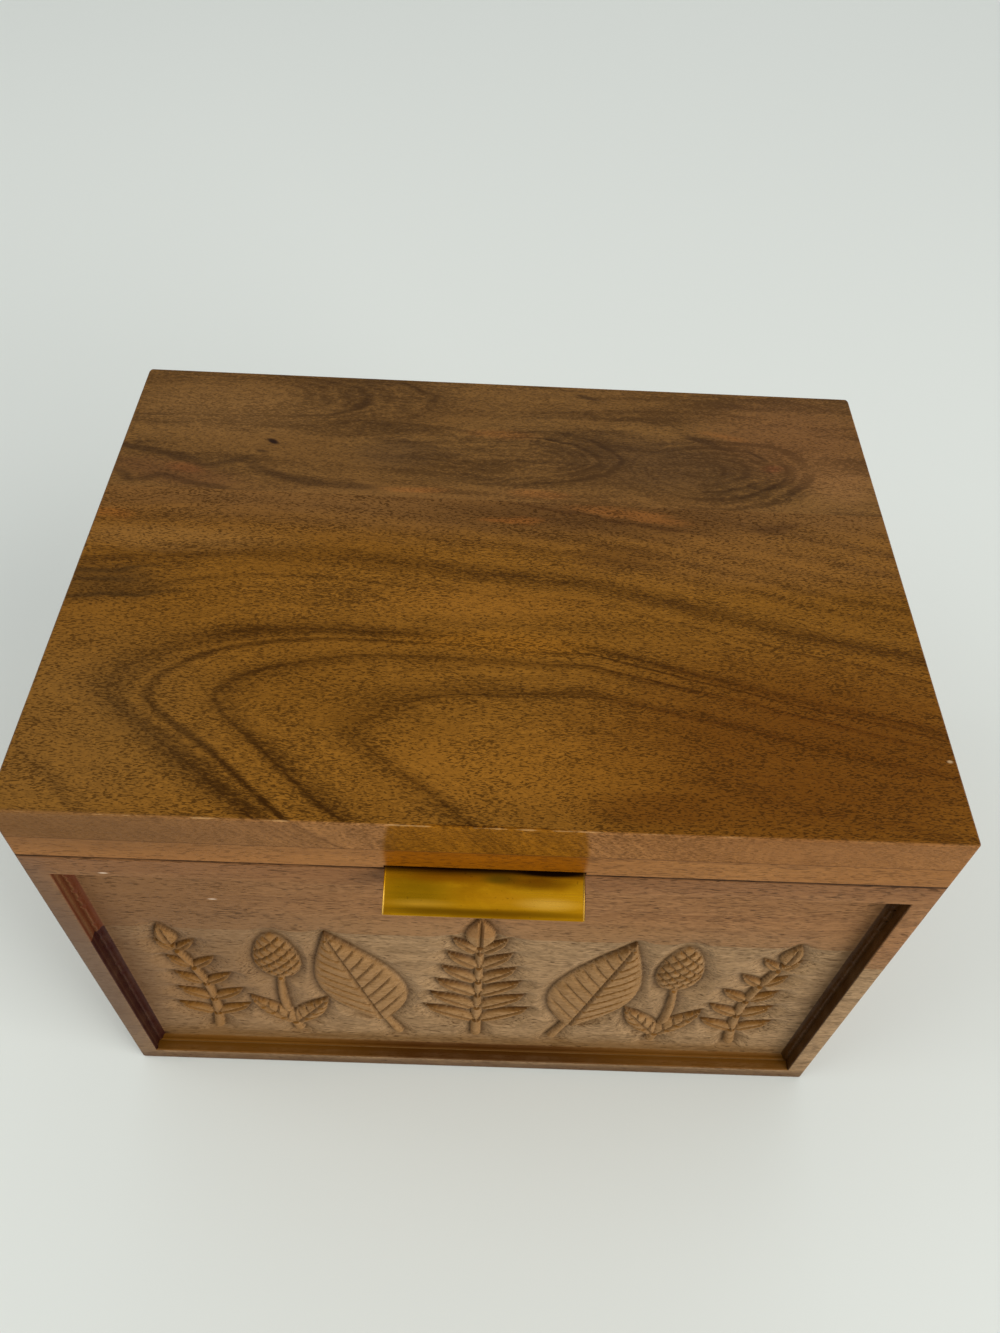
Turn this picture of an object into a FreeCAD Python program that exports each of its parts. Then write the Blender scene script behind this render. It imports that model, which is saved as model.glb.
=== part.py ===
import FreeCAD, Part
import math
import os

# Hinged wooden box for cards and keepsakes, with a recessed front and a curved brass pull on its lid.
# Millimetres, +X to the right, +Y to the rear, +Z up. The origin is the centre of the base.
# The walls are boards glued edge to edge and lapped at the corners. The lid is two boards on a rim of
# four rails. Two brass butt hinges lie in a V groove along the back seam. The groove's sloping sides
# meet when the lid is fully open, so they are its stop.

# Whole box
box_width = 178.0
box_depth = 130.0
body_height = 110.2
seam_gap = 0.3

# Walls
front_thickness = 12.0
back_thickness = 12.0
side_thickness = 10.0
corner_lap = 4.0
front_joint_height = 72.5
back_joint_height = 64.0
side_joint_height = 58.0

# Lid
lid_board_thickness = 9.0
lid_rail_height = 7.0
lid_joint_from_front = 86.0

# Base panel, let into a rabbet round the inside of the walls
base_thickness = 6.0
base_rabbet = 4.0
base_clearance = 0.2

# Eased edges
corner_radius = 1.0
lid_edge_chamfer = 0.4
base_chamfer = 0.8
seam_chamfer = 0.4

# Recess in the front: an upper wall, a narrow ledge, and a lower wall with a coved foot
recess_side_margin = 5.0
recess_bottom_margin = 6.0
recess_top_margin = 7.0
recess_upper_wall = 2.5
recess_lower_wall = 1.5
recess_ledge = 1.0
recess_corner_radius = 0.8
recess_cove_radius = 1.0

# Brass pull, let into the underside of the lid's front rail
pull_width = 38.0
pull_thickness = 1.2
pull_wood_behind = 2.5
pull_bend_inset = 0.5
pull_bend_radius = 14.5
pull_bend_angle = 40.0
pull_edge_chamfer = 0.3
pull_clearance = 0.2
pull_screw_end_margin = 8.0

# V groove along the back seam
groove_depth = 3.0
groove_half_angle = 51.0

# Butt hinges
hinge_length = 25.0
hinge_inset = 24.5
hinge_wood_behind = 2.0
hinge_leaf_thickness = 1.0
hinge_leaf_corner_radius = 0.6
hinge_leaf_clearance = 0.1
hinge_knuckle_count = 3
hinge_knuckle_gap = 0.3
hinge_barrel_clearance = 0.3
hinge_pin_radius = 0.9
hinge_pin_clearance = 0.05
hinge_screw_end_margin = 5.0

# Countersunk wood screws, as deep in the head as a hinge leaf and short enough for the lid's rails
screw_wood_beyond = 1.0
screw_head_radius = 1.8
screw_shank_radius = 0.8
screw_clearance = 0.05

# How far a cutting shape runs past the face that it cuts
overrun = 5.0

# Places that follow from the sizes
half_width = box_width / 2
half_depth = box_depth / 2
front_inner = front_thickness - half_depth
back_inner = half_depth - back_thickness
side_inner = half_width - side_thickness
side_front_end = front_inner - corner_lap
side_back_end = back_inner + corner_lap
lid_underside = body_height + seam_gap
lid_board_underside = lid_underside + lid_rail_height
lid_top = lid_board_underside + lid_board_thickness
lid_joint = lid_joint_from_front - half_depth
recess_depth = recess_upper_wall + recess_lower_wall
pull_seat_length = front_thickness - pull_wood_behind
pull_screw_inset = (pull_bend_inset + pull_seat_length) / 2
hinge_axis_y = half_depth - groove_depth
hinge_axis_z = body_height + seam_gap / 2
hinge_centre = half_width - hinge_inset - hinge_length / 2
hinge_leaf_width = back_thickness - groove_depth - hinge_wood_behind
barrel_radius = hinge_pin_radius + hinge_leaf_thickness
hinge_screw_setback = (barrel_radius + hinge_leaf_width) / 2
screw_length = lid_rail_height - screw_wood_beyond
screw_head_depth = hinge_leaf_thickness

# Ranges that run past the box
across_x = (-half_width - overrun, half_width + overrun)
across_y = (-half_depth - overrun, half_depth + overrun)
body_tall = (-overrun, body_height + overrun)
side_spans = {"left": (across_x[0], -side_inner), "right": (side_inner, across_x[1])}

X_AXIS = FreeCAD.Vector(1, 0, 0)
Y_AXIS = FreeCAD.Vector(0, 1, 0)
Z_AXIS = FreeCAD.Vector(0, 0, 1)
FULL_TURN = 360
HALF_TURN = 180
PARALLEL = 0.01


def block(x_range, y_range, z_range):
    """A box between a low and a high value on each axis."""
    low = FreeCAD.Vector(x_range[0], y_range[0], z_range[0])
    high = FreeCAD.Vector(x_range[1], y_range[1], z_range[1])
    return Part.makeBox(*(high - low), low)


def rod(radius, x_range):
    """A cylinder along X, centred on the hinge axis."""
    start = FreeCAD.Vector(x_range[0], hinge_axis_y, hinge_axis_z)
    return Part.makeCylinder(radius, x_range[1] - x_range[0], start, X_AXIS)


def turned(outline):
    """A solid of revolution about Z from an outline of (radius, z) points."""
    corners = [FreeCAD.Vector(radius, 0, z) for radius, z in outline]
    face = Part.Face(Part.makePolygon(corners + corners[:1]))
    return face.revolve(FreeCAD.Vector(), Z_AXIS, FULL_TURN)


def edges_along(shape, direction):
    """The straight edges of a box-like shape that run along an axis."""
    straight = [edge for edge in shape.Edges if isinstance(edge.Curve, Part.Line)]
    return [edge for edge in straight if edge.Curve.Direction.cross(direction).Length < PARALLEL]


def edges_of_end(shape, direction):
    """The edges round the flat face that lies furthest along an axis."""
    flat = [face for face in shape.Faces if isinstance(face.Surface, Part.Plane)]
    return max(flat, key=lambda face: face.CenterOfMass.dot(direction)).Edges


def cut_all(shape, cutters):
    """A shape with every cutter taken out of it."""
    for cutter in cutters:
        shape = shape.cut(cutter)
    return shape


def tidy(shape):
    """The shape as one solid, with faces that lie in one surface joined."""
    return shape.removeSplitter().Solids[0]


# Outside of the body and of the lid, with their eased edges


def seam_groove():
    """The V groove along the back seam, with its point on the hinge axis."""
    reach = groove_depth + overrun
    rise = reach * math.tan(math.radians(groove_half_angle))
    back = hinge_axis_y + reach
    corners = [
        FreeCAD.Vector(across_x[0], hinge_axis_y, hinge_axis_z),
        FreeCAD.Vector(across_x[0], back, hinge_axis_z - rise),
        FreeCAD.Vector(across_x[0], back, hinge_axis_z + rise),
    ]
    face = Part.Face(Part.makePolygon(corners + corners[:1]))
    return face.extrude(X_AXIS * (across_x[1] - across_x[0]))


def body_outside():
    """The body as one block, with rounded corners and an eased foot and rim."""
    solid = block((-half_width, half_width), (-half_depth, half_depth), (0, body_height))
    solid = solid.makeFillet(corner_radius, edges_along(solid, Z_AXIS))
    solid = solid.makeChamfer(base_chamfer, edges_of_end(solid, -Z_AXIS))
    solid = solid.makeChamfer(seam_chamfer, edges_of_end(solid, Z_AXIS))
    return solid.cut(seam_groove())


def lid_outside():
    """The lid as one block, with rounded corners and an eased top edge and rim."""
    solid = block((-half_width, half_width), (-half_depth, half_depth), (lid_underside, lid_top))
    solid = solid.makeFillet(corner_radius, edges_along(solid, Z_AXIS))
    solid = solid.makeChamfer(lid_edge_chamfer, edges_of_end(solid, Z_AXIS))
    solid = solid.makeChamfer(seam_chamfer, edges_of_end(solid, -Z_AXIS))
    return solid.cut(seam_groove())


# Screws


def screw(clearance=0):
    """A countersunk screw without its thread, head up at the origin, swelled by a clearance."""
    outline = [
        (0, 0),
        (screw_head_radius + clearance, 0),
        (screw_shank_radius + clearance, -screw_head_depth),
        (screw_shank_radius + clearance, -screw_length - clearance),
        (0, -screw_length - clearance),
    ]
    return turned(outline)


def screw_hole():
    """The hole for a screw, open above the head."""
    way_in = Part.makeCylinder(screw_head_radius + screw_clearance, overrun)
    return screw(screw_clearance).fuse(way_in)


def placed(shape, place, turn):
    """A copy of a shape at a place, turned about X by an angle in degrees."""
    copy = shape.copy()
    copy.Placement = FreeCAD.Placement(place, FreeCAD.Rotation(X_AXIS, turn))
    return copy


def at_hinge_screws(shape, on_lid):
    """Copies of a screw, or of its hole, at every screw of the leaves on the lid or on the body."""
    y = hinge_axis_y - hinge_screw_setback
    z = lid_underside if on_lid else body_height
    half_spacing = hinge_length / 2 - hinge_screw_end_margin
    turn = HALF_TURN if on_lid else 0
    places = [(side * hinge_centre + end * half_spacing) for side in (-1, 1) for end in (-1, 1)]
    return [placed(shape, FreeCAD.Vector(x, y, z), turn) for x in places]


def at_pull_screws(shape):
    """Copies of a screw, or of its hole, at both screws of the pull."""
    y = pull_screw_inset - half_depth
    x = pull_width / 2 - pull_screw_end_margin
    return [placed(shape, FreeCAD.Vector(side * x, y, lid_underside), HALF_TURN) for side in (-1, 1)]


# Hinges


def knuckle_spans(centre):
    """The X range of each knuckle of a hinge, from left to right."""
    gaps = (hinge_knuckle_count - 1) * hinge_knuckle_gap
    length = (hinge_length - gaps) / hinge_knuckle_count
    pitch = length + hinge_knuckle_gap
    starts = [centre - hinge_length / 2 + index * pitch for index in range(hinge_knuckle_count)]
    return [(start, start + length) for start in starts]


def leaf_seat(on_lid):
    """The Z range of a leaf, flush with the lid's underside or with the body's rim."""
    if on_lid:
        return (lid_underside, lid_underside + hinge_leaf_thickness)
    return (body_height - hinge_leaf_thickness, body_height)


def hinge_leaf(centre, on_lid):
    """One leaf of a hinge with its knuckles. The body's leaf has the two at the ends of the barrel."""
    low, high = leaf_seat(on_lid)
    ends = (centre - hinge_length / 2, centre + hinge_length / 2)
    leaf = block(ends, (hinge_axis_y - hinge_leaf_width, hinge_axis_y), (low, high))
    upright = edges_along(leaf, Z_AXIS)
    far_corners = [edge for edge in upright if edge.CenterOfMass.y < hinge_axis_y - barrel_radius]
    leaf = leaf.makeFillet(hinge_leaf_corner_radius, far_corners)
    spans = knuckle_spans(centre)
    first_own = 1 if on_lid else 0
    relief = (hinge_axis_y - barrel_radius - hinge_barrel_clearance, hinge_axis_y + overrun)
    for left, right in spans[1 - first_own :: 2]:
        slot = (left - hinge_knuckle_gap, right + hinge_knuckle_gap)
        leaf = leaf.cut(block(slot, relief, (low - overrun, high + overrun)))
    for span in spans[first_own::2]:
        leaf = leaf.fuse(rod(barrel_radius, span))
    bore = rod(hinge_pin_radius + hinge_pin_clearance, (ends[0] - overrun, ends[1] + overrun))
    return tidy(cut_all(leaf, [bore] + at_hinge_screws(screw_hole(), on_lid)))


def hinge_pin(centre):
    """A plain pin, flush with both ends of the barrel."""
    return rod(hinge_pin_radius, (centre - hinge_length / 2, centre + hinge_length / 2))


def hinge_seats(on_lid):
    """What the hinges take out of the back of the lid or of the body: mortises, coves and screw holes."""
    low, high = leaf_seat(on_lid)
    z_range = (low - overrun, high) if on_lid else (low, high + overrun)
    inner = hinge_axis_y - hinge_leaf_width - hinge_leaf_clearance
    half_mortise = hinge_length / 2 + hinge_leaf_clearance
    half_cove = hinge_length / 2 + hinge_barrel_clearance
    cutters = at_hinge_screws(screw_hole(), on_lid)
    for centre in (-hinge_centre, hinge_centre):
        cutters.append(block((centre - half_mortise, centre + half_mortise), (inner, hinge_axis_y), z_range))
        cutters.append(rod(barrel_radius + hinge_barrel_clearance, (centre - half_cove, centre + half_cove)))
    return cutters


# Pull


def pull_point(radius, angle):
    """A point on one face of the pull's bend, at an angle from the top of the bend."""
    y = pull_bend_inset - half_depth - radius * math.sin(angle)
    z = lid_underside + pull_thickness - pull_bend_radius + radius * math.cos(angle)
    return FreeCAD.Vector(-pull_width / 2, y, z)


def lid_pull():
    """A brass strip, flat under the lid, that curves forwards and down outside it."""
    outer = pull_bend_radius
    inner = pull_bend_radius - pull_thickness
    tip = math.radians(pull_bend_angle)
    back_low = FreeCAD.Vector(-pull_width / 2, pull_seat_length - half_depth, lid_underside)
    back_high = back_low + Z_AXIS * pull_thickness
    edges = [
        Part.LineSegment(back_high, pull_point(outer, 0)),
        Part.Arc(pull_point(outer, 0), pull_point(outer, tip / 2), pull_point(outer, tip)),
        Part.LineSegment(pull_point(outer, tip), pull_point(inner, tip)),
        Part.Arc(pull_point(inner, tip), pull_point(inner, tip / 2), pull_point(inner, 0)),
        Part.LineSegment(pull_point(inner, 0), back_low),
        Part.LineSegment(back_low, back_high),
    ]
    section = Part.Face(Part.Wire([edge.toShape() for edge in edges]))
    strip = section.extrude(X_AXIS * pull_width)
    outside = [edge for edge in strip.Edges if edge.CenterOfMass.y < pull_bend_inset - half_depth]
    strip = strip.makeChamfer(pull_edge_chamfer, outside)
    return tidy(cut_all(strip, at_pull_screws(screw_hole())))


def pull_seat():
    """What the pull takes out of the lid's front rail: its mortise and its screw holes."""
    half_mortise = pull_width / 2 + pull_clearance
    y_range = (across_y[0], pull_seat_length + pull_clearance - half_depth)
    z_range = (lid_underside - overrun, lid_underside + pull_thickness)
    return [block((-half_mortise, half_mortise), y_range, z_range)] + at_pull_screws(screw_hole())


# Walls and base


def base_block(clearance, low):
    """The base panel, drawn in from its rabbets by a clearance, with its underside at a height."""
    reach = base_rabbet - clearance
    x_range = (-side_inner - reach, side_inner + reach)
    return block(x_range, (front_inner - reach, back_inner + reach), (low, base_thickness))


def recess():
    """The recess in the front, as the shape that is cut away."""
    face = -half_depth
    right = half_width - recess_side_margin
    high = body_height - recess_top_margin
    upper_range = (across_y[0], face + recess_upper_wall)
    upper = block((-right, right), upper_range, (recess_bottom_margin, high))
    upper = upper.makeFillet(recess_corner_radius, edges_along(upper, Y_AXIS))
    floor_right = right - recess_ledge
    lower_range = (across_y[0], face + recess_depth)
    floor_range = (recess_bottom_margin + recess_ledge, high - recess_ledge)
    lower = block((-floor_right, floor_right), lower_range, floor_range)
    lower = lower.makeFillet(recess_corner_radius + recess_cove_radius, edges_along(lower, Y_AXIS))
    lower = lower.makeFillet(recess_cove_radius, edges_of_end(lower, Y_AXIS))
    return upper.fuse(lower)


def corner_laps(y_range, z_range):
    """The laps at both ends of a front or back piece, which take the ends of the side pieces."""
    return [block(span, y_range, z_range) for span in side_spans.values()]


def two_boards(panel, joint, name):
    """A glued-up wall as its lower and upper boards."""
    lower = panel.common(block(across_x, across_y, (body_tall[0], joint)))
    upper = panel.common(block(across_x, across_y, (joint, body_tall[1])))
    return {f"{name}_lower_board": tidy(lower), f"{name}_upper_board": tidy(upper)}


def front_wall(outside):
    """The front boards, with the recess and the laps."""
    panel = outside.common(block(across_x, (across_y[0], front_inner), body_tall))
    laps = corner_laps((side_front_end, front_inner + overrun), body_tall)
    panel = cut_all(panel, [base_block(0, -overrun), recess()] + laps)
    return two_boards(panel, front_joint_height, "front")


def back_wall(outside):
    """The back boards, with the laps and the hinges' seats."""
    panel = outside.common(block(across_x, (back_inner, across_y[1]), body_tall))
    laps = corner_laps((back_inner - overrun, side_back_end), body_tall)
    panel = cut_all(panel, [base_block(0, -overrun)] + laps + hinge_seats(on_lid=False))
    return two_boards(panel, back_joint_height, "back")


def side_wall(outside, hand):
    """The boards of the left or right wall."""
    panel = outside.common(block(side_spans[hand], (side_front_end, side_back_end), body_tall))
    return two_boards(panel.cut(base_block(0, -overrun)), side_joint_height, hand)


# Lid


def lid_boards(outside):
    """The two boards of the lid's top."""
    z_range = (lid_board_underside, lid_top + overrun)
    front = outside.common(block(across_x, (across_y[0], lid_joint), z_range))
    rear = outside.common(block(across_x, (lid_joint, across_y[1]), z_range))
    return {"lid_front_board": tidy(front), "lid_rear_board": tidy(rear)}


def lid_rails(outside):
    """The four rails of the lid's rim, lapped at the corners as the walls are."""
    z_range = (lid_underside - overrun, lid_board_underside)
    front = outside.common(block(across_x, (across_y[0], front_inner), z_range))
    front_laps = corner_laps((side_front_end, front_inner + overrun), z_range)
    back = outside.common(block(across_x, (back_inner, across_y[1]), z_range))
    back_laps = corner_laps((back_inner - overrun, side_back_end), z_range)
    rails = {
        "lid_front_rail": tidy(cut_all(front, front_laps + pull_seat())),
        "lid_back_rail": tidy(cut_all(back, back_laps + hinge_seats(on_lid=True))),
    }
    for hand, span in side_spans.items():
        rail = outside.common(block(span, (side_front_end, side_back_end), z_range))
        rails[f"lid_{hand}_rail"] = tidy(rail)
    return rails


def build():
    """Every piece of the box by name."""
    body = body_outside()
    lid = lid_outside()
    pieces = {**front_wall(body), **back_wall(body)}
    for hand, side in (("left", -1), ("right", 1)):
        pieces.update(side_wall(body, hand))
        pieces[f"{hand}_hinge_body_leaf"] = hinge_leaf(side * hinge_centre, on_lid=False)
        pieces[f"{hand}_hinge_lid_leaf"] = hinge_leaf(side * hinge_centre, on_lid=True)
        pieces[f"{hand}_hinge_pin"] = hinge_pin(side * hinge_centre)
    pieces["base_panel"] = base_block(base_clearance, 0)
    pieces.update(lid_boards(lid))
    pieces.update(lid_rails(lid))
    pieces["lid_pull"] = lid_pull()
    pieces["body_leaf_screws"] = Part.makeCompound(at_hinge_screws(screw(), on_lid=False))
    pieces["lid_leaf_screws"] = Part.makeCompound(at_hinge_screws(screw(), on_lid=True))
    pieces["pull_screws"] = Part.makeCompound(at_pull_screws(screw()))
    return pieces


os.makedirs("parts", exist_ok=True)
for name, shape in build().items():
    shape.exportStep(f"parts/{name}.step")
    print(f"{name}: {len(shape.Solids)} solid, valid {shape.isValid()}, {shape.Volume:.1f} mm3")
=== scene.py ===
"""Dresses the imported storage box: carved front, figured lid, brass fittings, a pale floor and soft light.

Lengths are in millimetres until a mesh is finished, and angles are in degrees.
"""

import logging
import math
from collections.abc import Iterable
from dataclasses import dataclass, field, replace
from enum import Enum

import bmesh
import bpy
import numpy as np
from mathutils import Color, Euler, Matrix, Vector, noise


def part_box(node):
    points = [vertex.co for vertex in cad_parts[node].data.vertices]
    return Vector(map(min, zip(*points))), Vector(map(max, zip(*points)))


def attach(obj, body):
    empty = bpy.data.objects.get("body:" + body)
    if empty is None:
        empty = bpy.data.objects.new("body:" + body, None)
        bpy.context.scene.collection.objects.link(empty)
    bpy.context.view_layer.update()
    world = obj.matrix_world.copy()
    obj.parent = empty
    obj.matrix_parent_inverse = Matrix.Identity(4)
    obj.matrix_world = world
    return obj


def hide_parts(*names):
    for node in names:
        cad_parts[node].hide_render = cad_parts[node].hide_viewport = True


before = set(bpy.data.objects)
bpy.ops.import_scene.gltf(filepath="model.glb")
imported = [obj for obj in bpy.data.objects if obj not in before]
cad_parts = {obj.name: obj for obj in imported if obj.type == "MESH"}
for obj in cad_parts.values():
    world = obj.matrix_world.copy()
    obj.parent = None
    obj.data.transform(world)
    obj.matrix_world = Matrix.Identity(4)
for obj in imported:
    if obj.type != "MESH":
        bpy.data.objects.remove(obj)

METRE = 1000.0
CUT_LAYER = "cut"
WALL_LAYER = "wall"
ORNAMENT_LAYER = "ornament"
MIDDLE = (0.5, 0.5, 0.5)
HALF = 0.5
FULL = (0.0, 1.0)
NEAR = 0.01
SMALLEST = 1e-6
ORIGIN = Vector((0.0, 0.0, 0.0))
ACROSS = Vector((1.0, 0.0, 0.0))
DEEP = Vector((0.0, 1.0, 0.0))
UP = Vector((0.0, 0.0, 1.0))

Colour = tuple[float, float, float, float]
Triple = tuple[float, float, float]
Spot = tuple[float, float]
Span = tuple[float, float]
Block = tuple[Triple, Triple]
ArchRow = tuple[float, float, float, float]
MarkRow = tuple[Spot, Triple, Triple, float, float]
Carving = tuple[np.ndarray, np.ndarray, np.ndarray]
Socket = bpy.types.NodeSocket
Value = Socket | float | Triple | Colour

log = logging.getLogger("storage_box")


class Body(Enum):
    """The two bodies that the pieces move with."""

    BOX = "box"
    LID = "lid"


class Slot(Enum):
    """Names of the record's material slots for new pieces; nothing in this script uses them."""

    WALL = "wall_wood"
    PULL = "pull_brass"
    SCREW = "screw_brass"


class Grain(Enum):
    """Turn, about the upright axis, that lays a board's grain along the first axis."""

    ACROSS = 0.0
    DEEP = 90.0


def tone(red: float, green: float, blue: float) -> Colour:
    """Turns a screen colour into the linear colour that a shader takes.

    Args:
        red: Red from 0 to 255.
        green: Green from 0 to 255.
        blue: Blue from 0 to 255.

    Returns:
        Linear red, green and blue with full alpha.
    """
    full = 255
    linear = Color((red / full, green / full, blue / full)).from_srgb_to_scene_linear()
    return (*linear, 1.0)


def node_box(node: str) -> tuple[Vector, Vector]:
    """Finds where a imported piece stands.

    Args:
        node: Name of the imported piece.

    Returns:
        Its lowest and highest corner in millimetres.
    """
    low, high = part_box(node)
    return low * METRE, high * METRE


def block(first: str, last: str) -> Block:
    """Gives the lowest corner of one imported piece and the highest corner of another."""
    return tuple(node_box(first)[0]), tuple(node_box(last)[1])


BODY_BLOCK = block("front_lower_board", "back_upper_board")
LID_BLOCK = block("lid_front_rail", "lid_rear_board")
FRONT = LID_BLOCK[0][1]
LID_TOP = LID_BLOCK[1][2]
LID_GLUE = node_box("lid_front_rail")[1].z
SEAM = (BODY_BLOCK[1][2] + LID_BLOCK[0][2]) / 2


def only_verts(items: Iterable[object]) -> list[bmesh.types.BMVert]:
    """Picks the vertices out of what a mesh operator made."""
    return [item for item in items if isinstance(item, bmesh.types.BMVert)]


def everything(shape: bmesh.types.BMesh) -> list[object]:
    """Lists all vertices, edges and faces of a mesh."""
    return shape.verts[:] + shape.edges[:] + shape.faces[:]


def place_object(name: str, data: bpy.types.ID) -> bpy.types.Object:
    """Puts a mesh, lamp or camera into the scene.

    Args:
        name: Name of the new object.
        data: The mesh, lamp or camera.

    Returns:
        The object that holds it.
    """
    thing = bpy.data.objects.new(name, data)
    bpy.context.scene.collection.objects.link(thing)
    return thing


def finish_piece(
    name: str,
    shape: bmesh.types.BMesh,
    material: bpy.types.Material,
    body: Body,
    replaced: str,
    crease: float = 32.0,
) -> None:
    """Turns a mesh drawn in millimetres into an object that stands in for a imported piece.

    Args:
        name: Name of the new object.
        shape: Closed mesh in millimetres; it is freed here.
        material: Finish of the whole piece.
        body: Body that the piece moves with.
        replaced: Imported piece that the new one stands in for.
        crease: Angle between faces from which an edge is sharp.
    """
    shrink = 1 / METRE
    bmesh.ops.scale(shape, vec=Vector((shrink, shrink, shrink)), verts=shape.verts)
    bmesh.ops.recalc_face_normals(shape, faces=shape.faces)
    mesh = bpy.data.meshes.new(name)
    shape.to_mesh(mesh)
    shape.free()
    mesh.shade_smooth()
    mesh.set_sharp_from_angle(angle=math.radians(crease))
    mesh.materials.append(material)
    piece = place_object(name, mesh)
    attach(piece, body.value)
    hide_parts(replaced)
    log.info("%s: %d faces", name, len(mesh.polygons))


@dataclass(frozen=True)
class Cloud:
    """A noise: its cells along each axis, finer layers and offset, and how it steps or moves a place."""

    cell: Value
    detail: float = 2.0
    shift: Triple = (0.0, 0.0, 0.0)
    span: Span = FULL
    levels: Span = FULL
    reach: Triple = (0.0, 0.0, 0.0)


class Graph:
    """Adds and links the nodes of one shader tree."""

    def __init__(self, tree: bpy.types.NodeTree) -> None:
        """Keeps the tree that nodes are added to."""
        self.tree = tree

    def feed(self, socket: Socket, value: Value) -> None:
        """Links a socket to another one, or sets its value.

        Args:
            socket: Input to feed.
            value: An output to link, or a constant.
        """
        if isinstance(value, bpy.types.NodeSocket):
            self.tree.links.new(value, socket)
        else:
            socket.default_value = value

    def add(self, kind: str, inputs: dict[str | int, Value], **settings: object) -> bpy.types.Node:
        """Adds a node.

        Args:
            kind: Node type.
            inputs: What feeds each input, by name or number.
            settings: Options of the node.

        Returns:
            The new node.
        """
        node = self.tree.nodes.new(kind)
        for name, value in settings.items():
            setattr(node, name, value)
        for name, value in inputs.items():
            self.feed(node.inputs[name], value)
        return node

    def math(self, operation: str, *terms: Value, clamp: bool = False) -> Socket:
        """Adds a sum on single values.

        Args:
            operation: Kind of sum.
            terms: Its terms in order.
            clamp: Whether the result is kept from 0 to 1.

        Returns:
            The result.
        """
        settings = {"operation": operation, "use_clamp": clamp}
        return self.add("ShaderNodeMath", dict(enumerate(terms)), **settings).outputs[0]

    def vector(self, operation: str, *terms: Value) -> Socket:
        """Adds a sum on vectors.

        Args:
            operation: Kind of sum.
            terms: Its terms in order.

        Returns:
            The result, a single value for lengths and dot products.
        """
        node = self.add("ShaderNodeVectorMath", dict(enumerate(terms)), operation=operation)
        single = operation in ("LENGTH", "DOT_PRODUCT")
        return node.outputs["Value" if single else "Vector"]

    def axes(self, place: Socket) -> bpy.types.NodeOutputs:
        """Splits a place into its three coordinates."""
        return self.add("ShaderNodeSeparateXYZ", {0: place}).outputs

    def mix(self, share: Value, first: Value, second: Value, blend: str = "MIX") -> Socket:
        """Mixes two colours.

        Args:
            share: Share of the second colour.
            first: Colour at share 0.
            second: Colour at share 1.
            blend: How the second colour is laid over the first.

        Returns:
            The mixed colour.
        """
        factor, under, over, mixed = 0, 6, 7, 2
        inputs = {factor: share, under: first, over: second}
        return self.add("ShaderNodeMix", inputs, data_type="RGBA", blend_type=blend).outputs[mixed]

    def cover(self, colour: Value, mask: Socket, share: Value, tint: Value) -> Socket:
        """Lays a share of a tint over a colour where a mask shows."""
        return self.mix(self.math("MULTIPLY", mask, share), colour, tint)

    def step(self, value: Value, low: float, high: float, first: float = 0.0, last: float = 1.0) -> Socket:
        """Adds a smooth step.

        Args:
            value: What is stepped.
            low: Where the step starts.
            high: Where it ends.
            first: Result before the step.
            last: Result after it.

        Returns:
            The stepped value.
        """
        inputs = {"Value": value, "From Min": low, "From Max": high, "To Min": first, "To Max": last}
        return self.add("ShaderNodeMapRange", inputs, interpolation_type="SMOOTHSTEP").outputs[0]

    def ramp(self, value: Socket, stops: Iterable[Span]) -> Socket:
        """Adds a curve through a row of grey stops.

        Args:
            value: Place on the curve, from 0 to 1.
            stops: Pairs of place and grey level in rising order.

        Returns:
            The grey level.
        """
        node = self.add("ShaderNodeValToRGB", {0: value})
        curve = node.color_ramp
        curve.interpolation = "EASE"
        stops = tuple(stops)
        while len(curve.elements) < len(stops):
            curve.elements.new(HALF)
        for element, (place, level) in zip(curve.elements, stops):
            element.position = place
            element.color = (level, level, level, 1.0)
        return node.outputs[0]

    def noise(self, place: Socket, cloud: Cloud) -> bpy.types.Node:
        """Adds a noise.

        Args:
            place: Where the noise is read, in millimetres.
            cloud: Its cells, finer layers and offset.

        Returns:
            The noise node, with a value and a colour output.
        """
        spot = {"Vector": place, "Location": cloud.shift, "Scale": cloud.cell}
        cell = self.add("ShaderNodeMapping", spot, vector_type="TEXTURE").outputs[0]
        return self.add("ShaderNodeTexNoise", {"Vector": cell, "Scale": 1.0, "Detail": cloud.detail})

    def grey(self, place: Socket, cloud: Cloud) -> Socket:
        """Adds a noise that is stepped between two grey levels."""
        return self.step(self.noise(place, cloud).outputs[0], *cloud.span, *cloud.levels)

    def sway(self, place: Socket, cloud: Cloud, moved: Socket) -> Socket:
        """Moves a place about by a noise.

        Args:
            place: Where the noise is read.
            cloud: The noise, and its reach along each axis.
            moved: Place that is moved.

        Returns:
            The moved place.
        """
        centred = self.vector("SUBTRACT", self.noise(place, cloud).outputs[1], MIDDLE)
        return self.vector("ADD", moved, self.vector("MULTIPLY", centred, cloud.reach))

    def bump(self, height: Socket, strength: float, depth: float) -> Socket:
        """Turns a height into a surface direction, with its full depth in millimetres."""
        relief = {"Height": height, "Strength": strength, "Distance": depth / METRE}
        return self.add("ShaderNodeBump", relief).outputs[0]

    def millimetres(self) -> Socket:
        """Gives the place on the piece in millimetres."""
        spot = self.add("ShaderNodeTexCoord", {}).outputs["Object"]
        return self.add("ShaderNodeMapping", {"Vector": spot, "Scale": (METRE, METRE, METRE)}).outputs[0]

    def attribute(self, name: str) -> Socket:
        """Gives a value that is kept on the mesh."""
        return self.add("ShaderNodeAttribute", {}, attribute_name=name).outputs["Fac"]

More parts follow.
